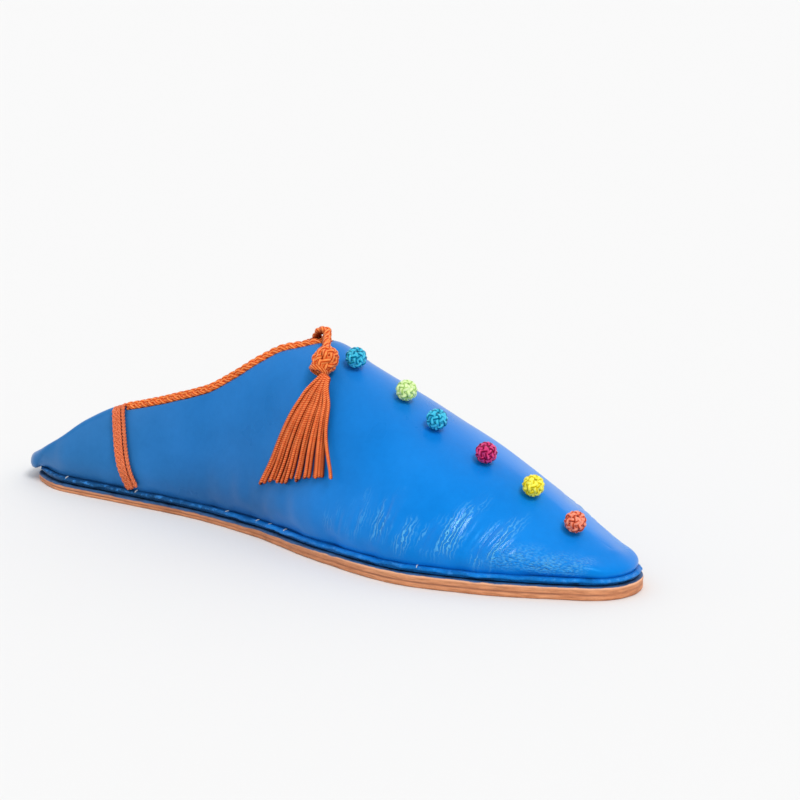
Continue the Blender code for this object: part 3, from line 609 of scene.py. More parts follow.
# share of the length, share of the ball's half width
opening_table = (
    (0.150, 0.400), (0.205, 0.400), (0.261, 0.395), (0.329, 0.380), (0.381, 0.338), (0.421, 0.268),
    (0.447, 0.210), (0.470, 0.163), (0.489, 0.096), (0.502, 0.000),
)
# share of the length, share of the counter's height
fold_table = (
    (-0.020, 0.240), (0.000, 0.275), (0.027, 0.355), (0.083, 0.583), (0.120, 0.778), (0.178, 0.990),
    (0.260, 1.100),
)


def foot_height(x):
    return sole_top(x) + piece_gap + rand_thickness + piece_gap + foot_lift


def ridge_height(x):
    return throat_height * through(ridge_table, share_at(x))


def section_power(x):
    """The power of the curve over the foot: 2 for the ellipse at the waist, less where the toe has a ridge."""
    return 2 + (toe_section_power - 2) * ease((share_at(x) - sharpens_from) / (sharp_at - sharpens_from))


def arch(girth, rise):
    """The middle of the upper's wall on the left half. rise is 0 at the rand and 1 at the ridge."""
    girth, rise = np.broadcast_arrays(np.asarray(girth, float), np.asarray(rise, float))
    point, normal = on_outline(girth)
    foot = point - foot_inset * normal
    fan = np.clip((share_at(foot[..., 0]) - fan_start) / (1 - fan_start), 0, 1)
    top_x = foot[..., 0] - fan_depth * fan**2
    low = foot_height(foot[..., 0])
    height = ridge_height(top_x) - low
    power = section_power(foot[..., 0])
    inward = 1 - np.maximum(0, 1 - rise**power) ** (1 / power)
    reach = np.minimum(belly_reach, belly_share * height)
    swell = np.sin(np.pi * np.minimum(1, rise * height / reach) ** belly_lift) ** 2
    out = belly_depth * (1 - toe_belly_loss * fan**2) * swell
    return np.stack([
        foot[..., 0] + (top_x - foot[..., 0]) * inward + normal[..., 0] * out,
        foot[..., 1] * (1 - inward) + normal[..., 1] * out,
        low + rise * height,
    ], -1)


def wall_at_height(girth, height):
    x = on_outline(girth)[0][..., 0]
    low = foot_height(x)
    return arch(girth, np.clip((height - low) / (ridge_height(x) - low), 0, 1))


def top_rise(girth):
    """The rise where the wall ends, at the collar, or at the ridge in front of the throat."""
    point, normal = on_outline(girth)
    foot = point[..., 1] - foot_inset * normal[..., 1]
    half = ball_half_width * through(opening_table, share_at(point[..., 0]), squared=True)
    open_share = np.clip(half / np.maximum(foot, 1e-6), 0, 1)
    return np.where(share_at(point[..., 0]) >= opening_table[-1][0], 1.0, np.sqrt(1 - open_share**2))


seam_girth = float(girth_at(seam_at))
lean_end_girth = float(girth_at(lean_ends_at))
throat_girth = float(girth_at(opening_table[-1][0]))


def leaned(girth, lift, base):
    """The girth that a line from base, slanting back as the side seam does, has reached at this height."""
    behind = ease(base / seam_girth)
    ahead = 1 - ease((base - seam_girth) / (lean_end_girth - seam_girth))
    return girth - seam_lean * behind * ahead * lift / half_girth


def vamp_point(girth, share):
    """A point of the vamp and sides. share runs from the rand up to the collar or the ridge."""
    girth, share = np.broadcast_arrays(np.asarray(girth, float), np.asarray(share, float))
    at = girth
    for _ in range(4):
        rise = np.sin(share * np.arcsin(top_rise(at)))
        lift = arch(at, rise)[..., 2] - foot_height(on_outline(at)[0][..., 0])
        at = leaned(girth, lift, girth)
    return arch(at, rise)


def counter_grid(girth, wall_rows, fold_rows, flap_rows):
    """The counter on the left half: each line goes up the wall, over the fold and along the flap."""
    point, normal = on_outline(girth)
    share = share_at(point[:, 0])
    back = 1 - ease(share / back_flattens_from)
    low = foot_height(point[:, 0])
    reach = fold_radius + (lip_reach - fold_radius) * back
    half = fold_radius + ((counter_height * fold_table[1][1] - wall / 2 - lip_bottom) / 2 - fold_radius) * back
    turn = back * np.pi / 2
    x = point[:, 0]
    for _ in range(5):
        top = counter_height * through(fold_table, share_at(x)) - wall / 2
        end = top - half * np.sin(turn) - np.hypot(half * np.sin(turn), reach * np.cos(turn))
        standing = on_outline(leaned(girth, end - foot_height(x), girth))[0][:, 0]
        x = standing + (point[:, 0] + heel_overhang * normal[:, 0] - standing) * back
    up = np.array((0, 0, 1.0))
    clear = wall / 2 * (np.sin(turn) - back)
    column = []
    for q in np.linspace(0, 1, wall_rows + 1):
        side_height = low + q * (end - low)
        standing = wall_at_height(leaned(girth, side_height - low, girth), side_height)
        standing = standing - (seam_step * (1 - back))[:, None] * normal
        out = -foot_inset + q * (foot_inset + heel_overhang - wall / 2 - reach)
        over = ease((out + lip_start) / (heel_overhang - wall / 2 - reach + lip_start))
        lying_height = low + wall / 2 + (end - low - wall / 2) * over
        lying = point * (1, 1, 0) + lying_height[:, None] * up + out[:, None] * normal
        column.append(standing + (lying - standing) * back[:, None] + (clear * (1 - q))[:, None] * up)
    heading = np.cos(turn)[:, None] * up + np.sin(turn)[:, None] * normal
    inner = np.sin(turn)[:, None] * up - np.cos(turn)[:, None] * normal
    last = column[-1]
    for angle in np.pi * np.arange(1, fold_rows + 1) / fold_rows:
        rise, run = half * (1 - math.cos(angle)), reach * math.sin(angle)
        column.append(last + rise[:, None] * inner + run[:, None] * heading)
    start = column[-1]
    length = np.maximum(counter_height - column[wall_rows][:, 2], 0) + wall
    rest = sole_top(point[:, 0]) + piece_gap + insole_thickness + piece_gap + wall / 2
    drop = np.minimum(start[:, 2] - rest, length * math.sin(flap_slope))
    run = np.sqrt(length**2 - drop**2)
    inward = flap_inward * length / counter_height * (1 - back)
    for q in np.arange(1, flap_rows + 1) / flap_rows:
        column.append(start + np.stack([run * q, -inward * q, -drop * (1 - (1 - q) ** 2)], -1))
    return np.stack(column, 1)


# Creases that walking has pressed into the vamp, in millimetres from the slipper's middle and from the floor.
# x and z of its top, of its middle and of its foot, depth, half width
creases = (
    (57.5, 29.0, 58.5, 21.8, 56.5, 13.4, 0.30, 0.9), (54.5, 28.5, 55.6, 21.0, 53.8, 14.6, 0.16, 0.8),
    (61.2, 26.5, 60.9, 20.0, 59.7, 12.9, 0.18, 0.8), (70.4, 22.5, 68.3, 17.4, 65.9, 11.9, 0.30, 0.9),
    (67.6, 21.9, 66.0, 17.6, 63.6, 13.0, 0.18, 0.7), (77.2, 22.2, 75.9, 18.2, 74.3, 13.0, 0.26, 0.8),
    (79.2, 21.0, 77.9, 16.6, 76.0, 11.6, 0.18, 0.7), (82.8, 27.5, 83.3, 20.5, 82.2, 11.4, 0.42, 1.0),
    (80.6, 24.6, 80.9, 18.5, 79.7, 12.4, 0.20, 0.7), (85.6, 26.0, 85.9, 19.2, 84.4, 10.4, 0.34, 0.9),
    (88.4, 23.0, 88.0, 17.0, 86.6, 10.4, 0.20, 0.8), (95.6, 22.6, 93.6, 16.8, 92.2, 8.9, 0.42, 1.0),
    (92.6, 22.0, 91.2, 17.6, 90.0, 12.2, 0.22, 0.7), (98.9, 20.8, 96.6, 15.8, 95.0, 9.6, 0.30, 0.9),
    (102.6, 18.8, 100.4, 14.6, 98.8, 9.6, 0.24, 0.8), (105.0, 15.2, 110.0, 13.8, 116.0, 12.6, 0.08, 0.8),
    (108.0, 13.8, 114.0, 12.4, 121.0, 11.4, 0.10, 0.8), (104.0, 12.6, 111.0, 11.2, 119.0, 10.4, 0.10, 0.8),
    (121.0, 11.4, 126.5, 10.8, 131.0, 9.4, -0.26, 1.1), (47.0, 24.0, 46.6, 18.0, 45.6, 12.0, 0.16, 0.9),
    (39.0, 22.0, 38.4, 16.5, 37.8, 11.5, 0.12, 0.9), (-24.6, 22.0, -22.6, 15.0, -21.4, 9.5, 0.14, 2.8),
    (-14.3, 22.0, -12.6, 15.5, -11.4, 9.5, 0.16, 3.0), (-5.9, 20.0, -5.0, 14.5, -4.4, 9.0, 0.11, 2.6),
    (-37.5, 22.0, -35.0, 15.5, -32.8, 9.5, 0.12, 2.8), (8.0, 24.0, 9.5, 16.0, 10.0, 9.5, 0.12, 3.2),
)


# the gain of the depths, the raised rims beside a trough and how far off they lie, and the fade at the ends
crease_gain, rim_share, rim_off, crease_fade, crease_steps = 1.5, 0.6, 1.9, 0.7, 8
# size, height and seed of the puckers at the rand, and the share of the wall where they die out
pucker_waves, puckers_end = ((0.011, 0.00022, 0), (0.030, 0.00030, 1)), 0.16
# in millimetres, how much further on the left side's creases stand
left_shift = 2.6


def curved(start, bend, end, steps):
    """Points along a curve from start to end, drawn towards bend."""
    t = np.linspace(0, 1, steps + 1)[:, None]
    return (1 - t) ** 2 * start + 2 * (1 - t) * t * bend + t**2 * end


def crease_push(places, shift, weight):
    """How far the creases push the leather in or out. shift moves the other side's creases a little."""
    flat = places[..., [0, 2]] / mm - (shift, 0)
    push = np.zeros(flat.shape[:-1])
    for *knots, depth, half in creases:
        top, middle, foot = np.array(knots).reshape(3, 2)
        line = curved(top, 2 * middle - (top + foot) / 2, foot, crease_steps)
        nearest = np.full(push.shape, 1e9)
        along = np.zeros(push.shape)
        for k, (a, b) in enumerate(zip(line, line[1:])):
            t = np.clip(((flat - a) @ (b - a)) / ((b - a) @ (b - a)), 0, 1)
            apart = np.linalg.norm(flat - a - t[..., None] * (b - a), axis=-1)
            closer = apart < nearest
            nearest = np.where(closer, apart, nearest)
            along = np.where(closer, (k + t) / crease_steps, along)
        fade = np.sin(np.pi * np.clip(along, 0.02, 0.98)) ** crease_fade
        trough = np.exp(-((nearest / half) ** 2))
        rims = np.exp(-(((nearest - rim_off * half) / half) ** 2))
        push += mm * crease_gain * depth * weight * fade * (rim_share * rims - trough)
    return push


def lasting_push(grid, row_share, seed):
    """Soft puckers where the leather is drawn in at the rand, dying out over the belly."""
    return waved(grid, pucker_waves, seed) * np.exp(-((row_share / puckers_end) ** 2))


def outward_of(grid):
    """The outward normals of a grid on the left half, whose rows run forward and columns run up."""
    forward = np.gradient(grid, axis=0)
    upward = np.gradient(grid, axis=1)
    normal = np.cross(upward, forward)
    size = np.linalg.norm(normal, axis=-1, keepdims=True)
    return normal / np.maximum(size, 1e-12)


# how far the leather is drawn down on the rand, over which height, and the height where that starts
drawn_down, drawn_height, drawn_from = 0.0007, 0.004, 0.0030
# how far the collar's left side has sunk, from where behind to the middle, and from which height up
collar_sunk, sunk_rear, sunk_over, sunk_from, sunk_height = 0.0014, -0.118, 0.03, 0.010, 0.022


def settled(places):
    """The leather is drawn down on the rand all round, and the left side of the collar has sunk with wear."""
    x, y, z = places[..., 0], places[..., 1], places[..., 2]
    drawn = drawn_down * (1 - ease((z - foot_height(x)) / drawn_height)) * ease((z - drawn_from) / drawn_from)
    sunk = ease((x - sunk_rear) / sunk_over) * ease(-x / sunk_over) * ease((z - sunk_from) / sunk_height)
    return places - (drawn + collar_sunk * sunk * (y > 0))[..., None] * (0, 0, 1)


side_stations, ball_stations = 110, 190
wall_rows, fold_rows, flap_rows = 22, 10, 16
lap = seam_lap / half_girth
# size, height and seed of the slow waves in the vamp and in the counter
vamp_waves, counter_waves = ((0.045, 0.00018, 31),), ((0.028, 0.00022, 43),)
side_spread = np.sin(np.pi / 2 * np.arange(side_stations) / side_stations) ** 1.1
side_line = seam_girth - lap + (throat_girth - seam_girth + lap) * side_spread
fore_line = throat_girth + (1 - throat_girth) * np.linspace(0, 1, ball_stations + 1)
vamp_girth = np.concatenate([side_line, fore_line])
vamp_share = np.concatenate([np.linspace(0, 0.42, 34)[:-1], np.linspace(0.42, 1, 22)])
vamp_half = vamp_point(vamp_girth[:, None], vamp_share[None, :])
vamp_half[side_stations:, -1, 1] = 0.0
vamp_half[-1, :, 1] = 0.0
vamp_out = outward_of(vamp_half)
vamp_out[-1] = (1, 0, 0)
counter_half = counter_grid(np.linspace(0, seam_girth + lap, 90), wall_rows, fold_rows, flap_rows)
counter_half[0, :, 1] = 0.0
counter_out = outward_of(counter_half)
upper_grids = []
for number, (side, shift, weight) in enumerate(((1, left_shift, 0.8), (-1, 0.0, 1.0))):
    mirror = np.array((1, side, 1))
    places = vamp_half * mirror
    push = crease_push(places, shift, weight) + lasting_push(places, vamp_share[None, :], 21 + number)
    push += waved(places, vamp_waves, number) * np.sin(np.pi * vamp_share)[None, :]
    push = push * np.clip((np.abs(places[..., 1]) - 0.002) / 0.008, 0, 1)
    upper_grids.append(settled(places + vamp_out * mirror * push[..., None]))
    places = counter_half * mirror
    wall_share = np.arange(places.shape[1])[None, :] / wall_rows
    push = lasting_push(places, wall_share, 41 + number) + waved(places, counter_waves)
    push = push * np.clip(np.abs(places[..., 1]) / 0.004, 0, 1)
    upper_grids.append(settled(places + counter_out * mirror * push[..., None]))
upper_mesh = mesh_of_grids("upper_leather", upper_grids)
upper_places = np.concatenate([g.reshape(-1, 3) for g in upper_grids])
# fine creases in clusters, in millimetres: x and z of the middle, half length along x and z, strength
ball_clusters = (
    (47.0, 21.0, 5.0, 8.0, 0.35), (58.0, 20.5, 4.5, 9.0, 0.75), (67.5, 17.0, 3.6, 6.0, 0.80),
    (76.0, 17.5, 3.4, 6.0, 0.70), (83.0, 19.0, 4.8, 9.5, 1.00), (96.0, 15.5, 5.5, 8.0, 1.00),
    (34.0, 17.0, 5.0, 6.0, 0.18),
)
toe_clusters = ((104.0, 13.0, 8.0, 3.6, 0.85), (114.0, 11.4, 8.0, 2.8, 1.00), (122.0, 10.6, 5.0, 2.2, 0.80))


def cluster_marks(clusters, places):
    """How much each place lies in one of the clusters. The left side's clusters stand a little further on."""
    ahead, high = places[:, 0] / mm - np.where(places[:, 1] > 0, left_shift, 0.0), places[:, 2] / mm
    total = np.zeros(len(places))
    for x, z, along, up, strength in clusters:
        lean = 0.22 * (high - z)
        far = ((ahead - x - lean) / along) ** 2 + ((high - z) / up) ** 2
        total = np.maximum(total, strength * np.clip(1.3 * np.exp(-far * 0.9) - 0.3, 0, 1))
    return total


# share of fading and painted shade by x in millimetres, greater towards the heel where the light falls off
fade_and_shade_table = (
    (-137, 0.90), (-90, 0.85), (-66, 0.68), (-45, 0.55), (-10, 0.50), (10, 0.36), (25, 0.20), (45, 0.08),
    (80, 0.0),
)
# painted shade in a hollow low at the waist, in millimetres: x and z of its middle, half length along x and z
hollow_x, hollow_z, hollow_along, hollow_up = -20, 12, 34, 13
upper_x, upper_z = upper_places[:, 0] / mm, upper_places[:, 2] / mm
fade_and_shade = np.interp(upper_x, *zip(*fade_and_shade_table))
waist_shade = np.exp(-(((upper_x - hollow_x) / hollow_along) ** 2) - ((upper_z - hollow_z) / hollow_up) ** 2)
# painted shade: greyer towards the heel and in the hollow at the waist, partly real fading
mark(upper_mesh, "fade_and_shade", np.clip(fade_and_shade + 0.42 * waist_shade, 0, 1))
mark(upper_mesh, "hollow_shade", waist_shade)
mark(upper_mesh, "ball_creased", cluster_marks(ball_clusters, upper_places))
mark(upper_mesh, "toe_creased", cluster_marks(toe_clusters, upper_places))


def blue_leather():
    """Glossy dyed leather, deep at the toe and greyer towards the heel, partly faded and partly painted shade
    where the light falls off, and with painted shade in a hollow at the waist. Over the ball it has gathered in
    fine leaning wrinkles, and low at the toe in pebbles, and both have painted highlights on their crests and
    are polished."""
    made, tree, shader = finish_named(
        "blue_upper_leather", 0.32, Specular_Tint=(0.06, 0.58, 1.0, 1.0), Specular_IOR_Level=0.34,
        Coat_Roughness=0.14,
    )
    leather = hide_in(tree, 0.55, 34.0)
    bright = blue_dye(tree, leather, (0.002, 0.190, 0.650), (0.003, 0.212, 0.715), (0.006, 0.238, 0.780))
    # the greyer blue of the heel: partly faded, partly painted shade where the light falls off
    faded_and_shaded_blue = blue_dye(tree, leather, (0.026, 0.138, 0.350), (0.034, 0.172, 0.430), (0.044, 0.200, 0.500))
    base = mix_in(tree, mark_in(tree, "fade_and_shade"), bright, faded_and_shaded_blue)
    # painted shade in the hollow low at the waist
    shaded = mix_in(tree, mark_in(tree, "hollow_shade"), (1.0, 1.0, 1.0), (0.74, 0.77, 0.86))
    base = mix_in(tree, 1.0, base, shaded, "MULTIPLY")
    mottle = ramp_in(tree, leather["Fleck"], (0.30, 0.88, 0.90, 0.93), (0.65, 1.0, 1.0, 1.0))
    base = mix_in(tree, 0.5, base, mottle, "MULTIPLY")
    tree.links.new(range_in(tree, leather["Drift"], 0.3, 0.7, 0.26, 0.36), shader.inputs["Roughness"])
    ball, toe = mark_in(tree, "ball_creased"), mark_in(tree, "toe_creased")
    leaning = node_in(tree, "ShaderNodeMapping", {
        "Vector": place_in(tree), "Rotation": (0.0, math.radians(-13), 0.0), "Scale": (1.0, 0.45, 0.60),
    }).outputs["Vector"]
    ripple = node_in(tree, "ShaderNodeTexWave", {
        "Vector": leaning, "Scale": 235.0, "Distortion": 8.5, "Detail": 2.5, "Detail Scale": 1.9,
        "Detail Roughness": 0.6,
    })
    crest = range_in(tree, ripple.outputs["Fac"], 0.60, 0.95)
    patches = range_in(tree, noise_in(tree, leaning, 190.0, 1.0), 0.44, 0.54)
    ripples = math_in(tree, "MULTIPLY", crest, math_in(tree, "MULTIPLY", patches, ball))
    pebble = node_in(
        tree, "ShaderNodeTexVoronoi", {"Vector": place_in(tree, (0.55, 0.7, 1.2)), "Scale": 1650.0},
        feature="SMOOTH_F1",
    ).outputs["Distance"]
    skin = bump_in(tree, leather["Grain"], 0.00005, 0.35)
    skin = bump_in(tree, ripples, 0.00028, 1.0, skin)
    skin = bump_in(tree, math_in(tree, "MULTIPLY", pebble, toe), 0.0010, 1.0, skin)
    # painted highlights: the crests of the wrinkles and of the pebbles are painted pale cyan, as glints
    pebble_glints = math_in(tree, "MULTIPLY", range_in(tree, pebble, 0.55, 0.20), 0.62)
    painted_glints = math_in(tree, "MAXIMUM", ripples, math_in(tree, "MULTIPLY", pebble_glints, toe))
    crest_glinted = mix_in(tree, math_in(tree, "MULTIPLY", painted_glints, 0.72), base, (0.18, 0.66, 1.0))
    tree.links.new(crest_glinted, shader.inputs["Base Color"])
    polish = range_in(tree, math_in(tree, "MAXIMUM", ball, toe), 0.0, 0.7, 0.0, 0.32)
    tree.links.new(polish, shader.inputs["Coat Weight"])
    tree.links.new(skin, shader.inputs["Normal"])
    return made


lining_finish = natural_leather("lining_natural_leather", (0.50, 0.36, 0.23), (0.40, 0.28, 0.18))
upper_finishes = [blue_leather(), lining_finish]
upper = piece_of("upper_leather", welded(upper_mesh), upper_finishes, "blue_leather", "upper")
thick = upper.modifiers.new("wall", "SOLIDIFY")
thick.thickness = wall
thick.offset = 0.0
thick.use_even_offset = False
thick.material_offset = 1


# Rand stitches. White linen thread joins rand, upper and sole. Most of each stitch is sunk in the crease under
# the upper, and only a few short slanted loops show on the strip.
stitch_step, stitch_radius, stitches_hidden = 0.0085, 0.00020, 0.74


def cord_rings(line, radius, sides, lead=None):
    """Rings round a line of points, drawn in at both ends. lead sets where the first ring starts."""
    along = unit(np.gradient(line, axis=0))
    side = np.zeros_like(line)
    first = np.cross(along[0], (0, 0, 1.0) if lead is None else lead)
    if np.linalg.norm(first) < 1e-6:
        first = np.cross(along[0], (1.0, 0, 0))
    side[0] = unit(first)
    for k in range(1, len(line)):
        side[k] = unit(side[k - 1] - along[k] * (side[k - 1] @ along[k]))
    over = np.cross(side, along)
    gone = gone_along(line)
    ends = np.minimum(gone, gone[-1] - gone)
    wide = radius * np.maximum(np.sqrt(1 - (1 - np.clip(ends / radius, 0, 1)) ** 2), 0.02)
    angle = 2 * np.pi * np.arange(sides) / sides
    ring = np.cos(angle)[None, :, None] * side[:, None] + np.sin(angle)[None, :, None] * over[:, None]
    return line[:, None] + wide[:, None, None] * ring


def cord_mesh(name, cords):
    """One mesh of cords, each given as its rings and the painted light and shade of each of their points."""
    mesh = mesh_of_grids(name, [rings for rings, _ in cords], closed_rows=True, uv=True)
    # painted light and shade: the mark that the silk reads to darken deep points and light proud ones
    mark(mesh, "painted_light", np.concatenate([np.broadcast_to(c, rings.shape[:2]).ravel() for rings, c in cords]))
    return mesh


def thread_group():
    """Shared by every cord here: fine fibres that wind round it, read from the map that follows the cord."""
    tree, given, result = group_named("silk_thread", (
        ("Turns", "NodeSocketFloat", 6.0), ("Pitch", "NodeSocketFloat", 1.4), ("Map", "NodeSocketVector", None),
    ), ("Fibre", "Shade"))
    split = node_in(tree, "ShaderNodeSeparateXYZ", {"Vector": given["Map"]}).outputs
    around = math_in(tree, "MULTIPLY", split["X"], given["Turns"])
    phase = math_in(tree, "ADD", around, math_in(tree, "DIVIDE", split["Y"], given["Pitch"]))
    wave = math_in(tree, "SINE", math_in(tree, "MULTIPLY", phase, 2 * math.pi))
    fibre = math_in(tree, "MULTIPLY_ADD", wave, 0.5, 0.5)
    tree.links.new(fibre, result["Fibre"])
    tree.links.new(math_in(tree, "MULTIPLY", fibre, noise_in(tree, given["Map"], 1.7, 2.0)), result["Shade"])
    return tree


silk_thread = thread_group()


def silk(name, dark, middle, light, turns, pitch, depth=0.00010, sunk_to=0.05, proud_at=0.60):
    """Twisted silk with a soft gloss, with painted highlight on the crown of each fibre and painted shade
    between them. A mark of painted light shades each point as well: a point is painted dark where its mark is
    under sunk_to, and fully lit where it is over proud_at."""
    made, tree, shader = finish_named(name, 0.34, Specular_IOR_Level=0.55, Specular_Tint=(*light, 1.0))
    followed = node_in(tree, "ShaderNodeUVMap", uv_map="thread").outputs["UV"]
    inputs = {"Turns": turns, "Pitch": pitch, "Map": followed}
    thread = node_in(tree, "ShaderNodeGroup", inputs, node_tree=silk_thread).outputs
    # painted highlight and shade along the twist: each fibre painted light on its crown and dark between
    tone = ramp_in(tree, thread["Shade"], (0.0, *dark), (0.12, *middle), (0.48, *light))
    drift = noise_in(tree, place_in(tree), 160.0, 2.0)
    uneven = ramp_in(tree, drift, (0.30, 0.84, 0.82, 0.80), (0.60, 1.0, 1.0, 1.0))
    tone = mix_in(tree, 0.8, tone, uneven, "MULTIPLY")
    # painted shade where a point's mark is low, and painted light where it is high
    lit = range_in(tree, mark_in(tree, "painted_light"), sunk_to, proud_at)
    tree.links.new(mix_in(tree, lit, tuple(0.34 * c for c in dark), tone), shader.inputs["Base Color"])
    tree.links.new(bump_in(tree, thread["Fibre"], depth, 0.8), shader.inputs["Normal"])
    return made


linen = silk("white_linen", (0.45, 0.47, 0.50), (0.78, 0.79, 0.80), (0.95, 0.95, 0.94), turns=3.0, pitch=0.6)
stitch_cords = []
luck = np.random.default_rng(7)
for side in (1, -1):
    for girth in np.arange(0.012, 0.988, stitch_step / half_girth):
        girth = girth + luck.uniform(-0.25, 0.25) * stitch_step / half_girth
        point, normal = on_outline(girth)
        proud = luck.random()
        if proud < stitches_hidden:
            continue
        top = sole_top(point[0]) + piece_gap + rand_thickness
        slant = luck.uniform(-0.3, 0.5) * mm * np.array((normal[1], -normal[0], 0.0))
        ends_at = 1.7 - 0.7 * (0.3 + 0.9 * proud)
        start = point - 3.0 * mm * normal + (0, 0, top + 0.10 * mm)
        bend = point - 1.7 * mm * normal + slant * 0.5 + (0, 0, top + (0.05 + 0.22 * proud) * mm)
        end = point - ends_at * mm * normal + slant + (0, 0, top - (0.10 + 0.3 * proud) * mm)
        line = curved(start, bend, end, 7) * (1, side, 1)
        stitch_cords.append((cord_rings(line, stitch_radius * (0.7 + 0.5 * proud), 6), 1.0))
piece_of("rand_stitches", cord_mesh("rand_stitches", stitch_cords), [linen], "orange_silk")


# Collar cord. Three strands of orange silk, plaited and oversewn on the collar's edge from one side seam round
# the throat to the other, where the side bands cover its ends.
braid_radius = 0.00165
band_width = 0.0060
plait_period = 0.0099
orange_silk = silk(
    "orange_cord_silk", (0.46, 0.038, 0.006), (0.93, 0.130, 0.020), (1.0, 0.345, 0.100), turns=5.0, pitch=2.2,
    sunk_to=0.24, proud_at=0.78,
)


def collar_edge(girth):
    """The collar's edge on the left half, and the directions off the edge and out of the wall."""
    edge = vamp_point(girth, 1.0)
    step = 0.0015
    along = vamp_point(girth + step, 1.0) - vamp_point(girth - step, 1.0)
    below = vamp_point(girth, 0.9) - edge
    off = unit(along * (below @ along / (along @ along)) - below)
    out = unit(np.cross(along, off))
    return edge, off, out * np.sign(out[1])


def evenly(line, step, *riders):
    """A line of points at even steps, with the directions that ride on it."""
    gone = gone_along(line)
    at = np.linspace(0, gone[-1], max(3, round(gone[-1] / step)) + 1)
    made = [np.stack([np.interp(at, gone, row[:, k]) for k in range(3)], -1) for row in (line, *riders)]
    return [made[0]] + [unit(column) for column in made[1:]]


def plaited(line, across, over, half_width, half_height, period, strand, strands=3):
    """Strands that weave over and under each other along a line, with how far each point stands out,
    painted as light and shade.
    """
    gone = gone_along(line)
    cords = []
    for k in range(strands):
        swing = 2 * np.pi * (gone / period + k / strands)
        rise = half_height * np.sin((strands - 1) * swing)
        route = line + across * (half_width * np.sin(swing))[:, None] + over * rise[:, None]
        rings = cord_rings(route, strand, 10, lead=over[0])
        # painted light: points over the plait are painted lit, points under it painted in shade
        out = ((rings - line[:, None]) * over[:, None]).sum(-1)
        cords.append((rings, np.clip(0.5 + 0.5 * out / (half_height + strand), 0, 1)))
    return cords


collar_start = seam_girth
while vamp_point(collar_start, 1.0)[0] < vamp_point(seam_girth, 1.0)[0] + band_width / 2 - 0.0006:
    collar_start += 0.0005
near_throat = throat_girth - 0.03
collar_girth = np.concatenate([
    np.arange(collar_start, near_throat, 0.004), np.linspace(near_throat, throat_girth - 0.0022, 12),
])
collar_line, collar_across, collar_out = [], [], []
for girth in collar_girth:
    edge, off, out = collar_edge(girth)
    collar_line.append(edge + off * 1.1 * braid_radius)
    collar_across.append(off)
    collar_out.append(out)
throat = arch(throat_girth, 1.0)
peak = throat + (-wall / 2 - piece_gap - braid_radius, 0, braid_radius * 0.5)
mirror_y = np.array((1, -1, 1))
collar_line, collar_across, collar_out = (
    np.array([place * mirror_y for place in column] + [np.array(at_peak)] + column[::-1])
    for column, at_peak in (
        (collar_line, peak), (collar_across, (-0.3, 0, 0.95)), (collar_out, (0.95, 0, 0.3)),
    )
)
collar_line, collar_across, collar_out = evenly(settled(collar_line), 0.00042, collar_across, collar_out)
collar_cords = plaited(collar_line, collar_across, collar_out, 0.00086, 0.00046, plait_period, 0.00088)
collar_mesh = cord_mesh("collar_plait", collar_cords)
piece_of("collar_plait", collar_mesh, [orange_silk], "orange_silk", "collar_braid")


# Side bands. A flat plait of the same silk hides each side seam, with a narrow cord sewn along its front edge.
# At the top both are turned in over the collar.
band_foot, band_off, band_turn = 0.0016, 0.0009, 0.0022
# the plait and the cord: place across the band and off it, half width, half height, period, strand, strands
band_plaits = (
    (-0.0011, 0.0, 0.00150, 0.00016, 0.0100, 0.00062, 5),
    (0.00225, 0.0001, 0.00034, 0.00030, 0.0042, 0.00048, 3),
)
band_silk = silk(
    "band_silk", (0.50, 0.085, 0.030), (0.80, 0.170, 0.060), (0.93, 0.270, 0.120), turns=5.0, pitch=1.6,
)


def seam_point(height):
    """A place on the side seam at a height, and the outward normal there."""
    x = on_outline(seam_girth)[0][0]
    girth = leaned(seam_girth, height - foot_height(x), seam_girth)
    here = wall_at_height(girth, height)
    up, ahead = wall_at_height(girth, height + 0.001) - here, wall_at_height(girth + 0.001, height) - here
    return here, unit(np.cross(up, ahead))


band_low = foot_height(on_outline(seam_girth)[0][0]) + band_foot
band_high = vamp_point(seam_girth, 1.0)[2]
band_line, band_over = [], []
for height in np.linspace(band_low, band_high, 60):
    here, normal = seam_point(height)
    band_line.append(here + normal * (wall / 2 + piece_gap + band_off))
    band_over.append(normal)
last_over, upward = band_over[-1], unit(band_line[-1] - band_line[-2])
turn_centre = band_line[-1] - last_over * band_turn
for angle in np.linspace(0.15, 2.1, 12):
    band_over.append(last_over * math.cos(angle) + upward * math.sin(angle))
    band_line.append(turn_centre + band_turn * band_over[-1])
band_line, band_over = evenly(np.array(band_line), 0.0004, np.array(band_over))
band_forward = unit(np.cross(np.gradient(band_line, axis=0), band_over))
band_forward *= np.sign(band_forward[10, 0])
band_cords = []
for ahead, off, *sizes in band_plaits:
    band_cords += plaited(band_line + ahead * band_forward + off * band_over, band_forward, band_over, *sizes)
for name, side in (("left", 1), ("right", -1)):
    cords = [(settled(rings * (1, side, 1)), painted_light) for rings, painted_light in band_cords]
    band_mesh = cord_mesh(f"seam_band_{name}", cords)
    piece_of(f"seam_band_{name}", band_mesh, [band_silk], "orange_silk", f"side_braid_{name}")


# Silk buttons. Each is one length of thin cord worked into a round knot, drawn tight and sewn to the ridge of
# the vamp with its tails inside.
button_radius, button_squash = 0.0038, 0.94
# share of the length, metres to the right of the ridge, colour, record slot, turn of the knot in degrees
buttons = (
    (0.551, 0.0035, "teal", "teal_silk", 10), (0.634, 0.0030, "lime", "lime_silk", 55),
    (0.694, 0.0060, "teal", "teal_silk", 100), (0.778, 0.0055, "magenta", "magenta_silk", 140),
    (0.851, 0.0045, "yellow", "yellow_silk", 20), (0.919, 0.0045, "red_orange", "red_orange_silk", 75),
)
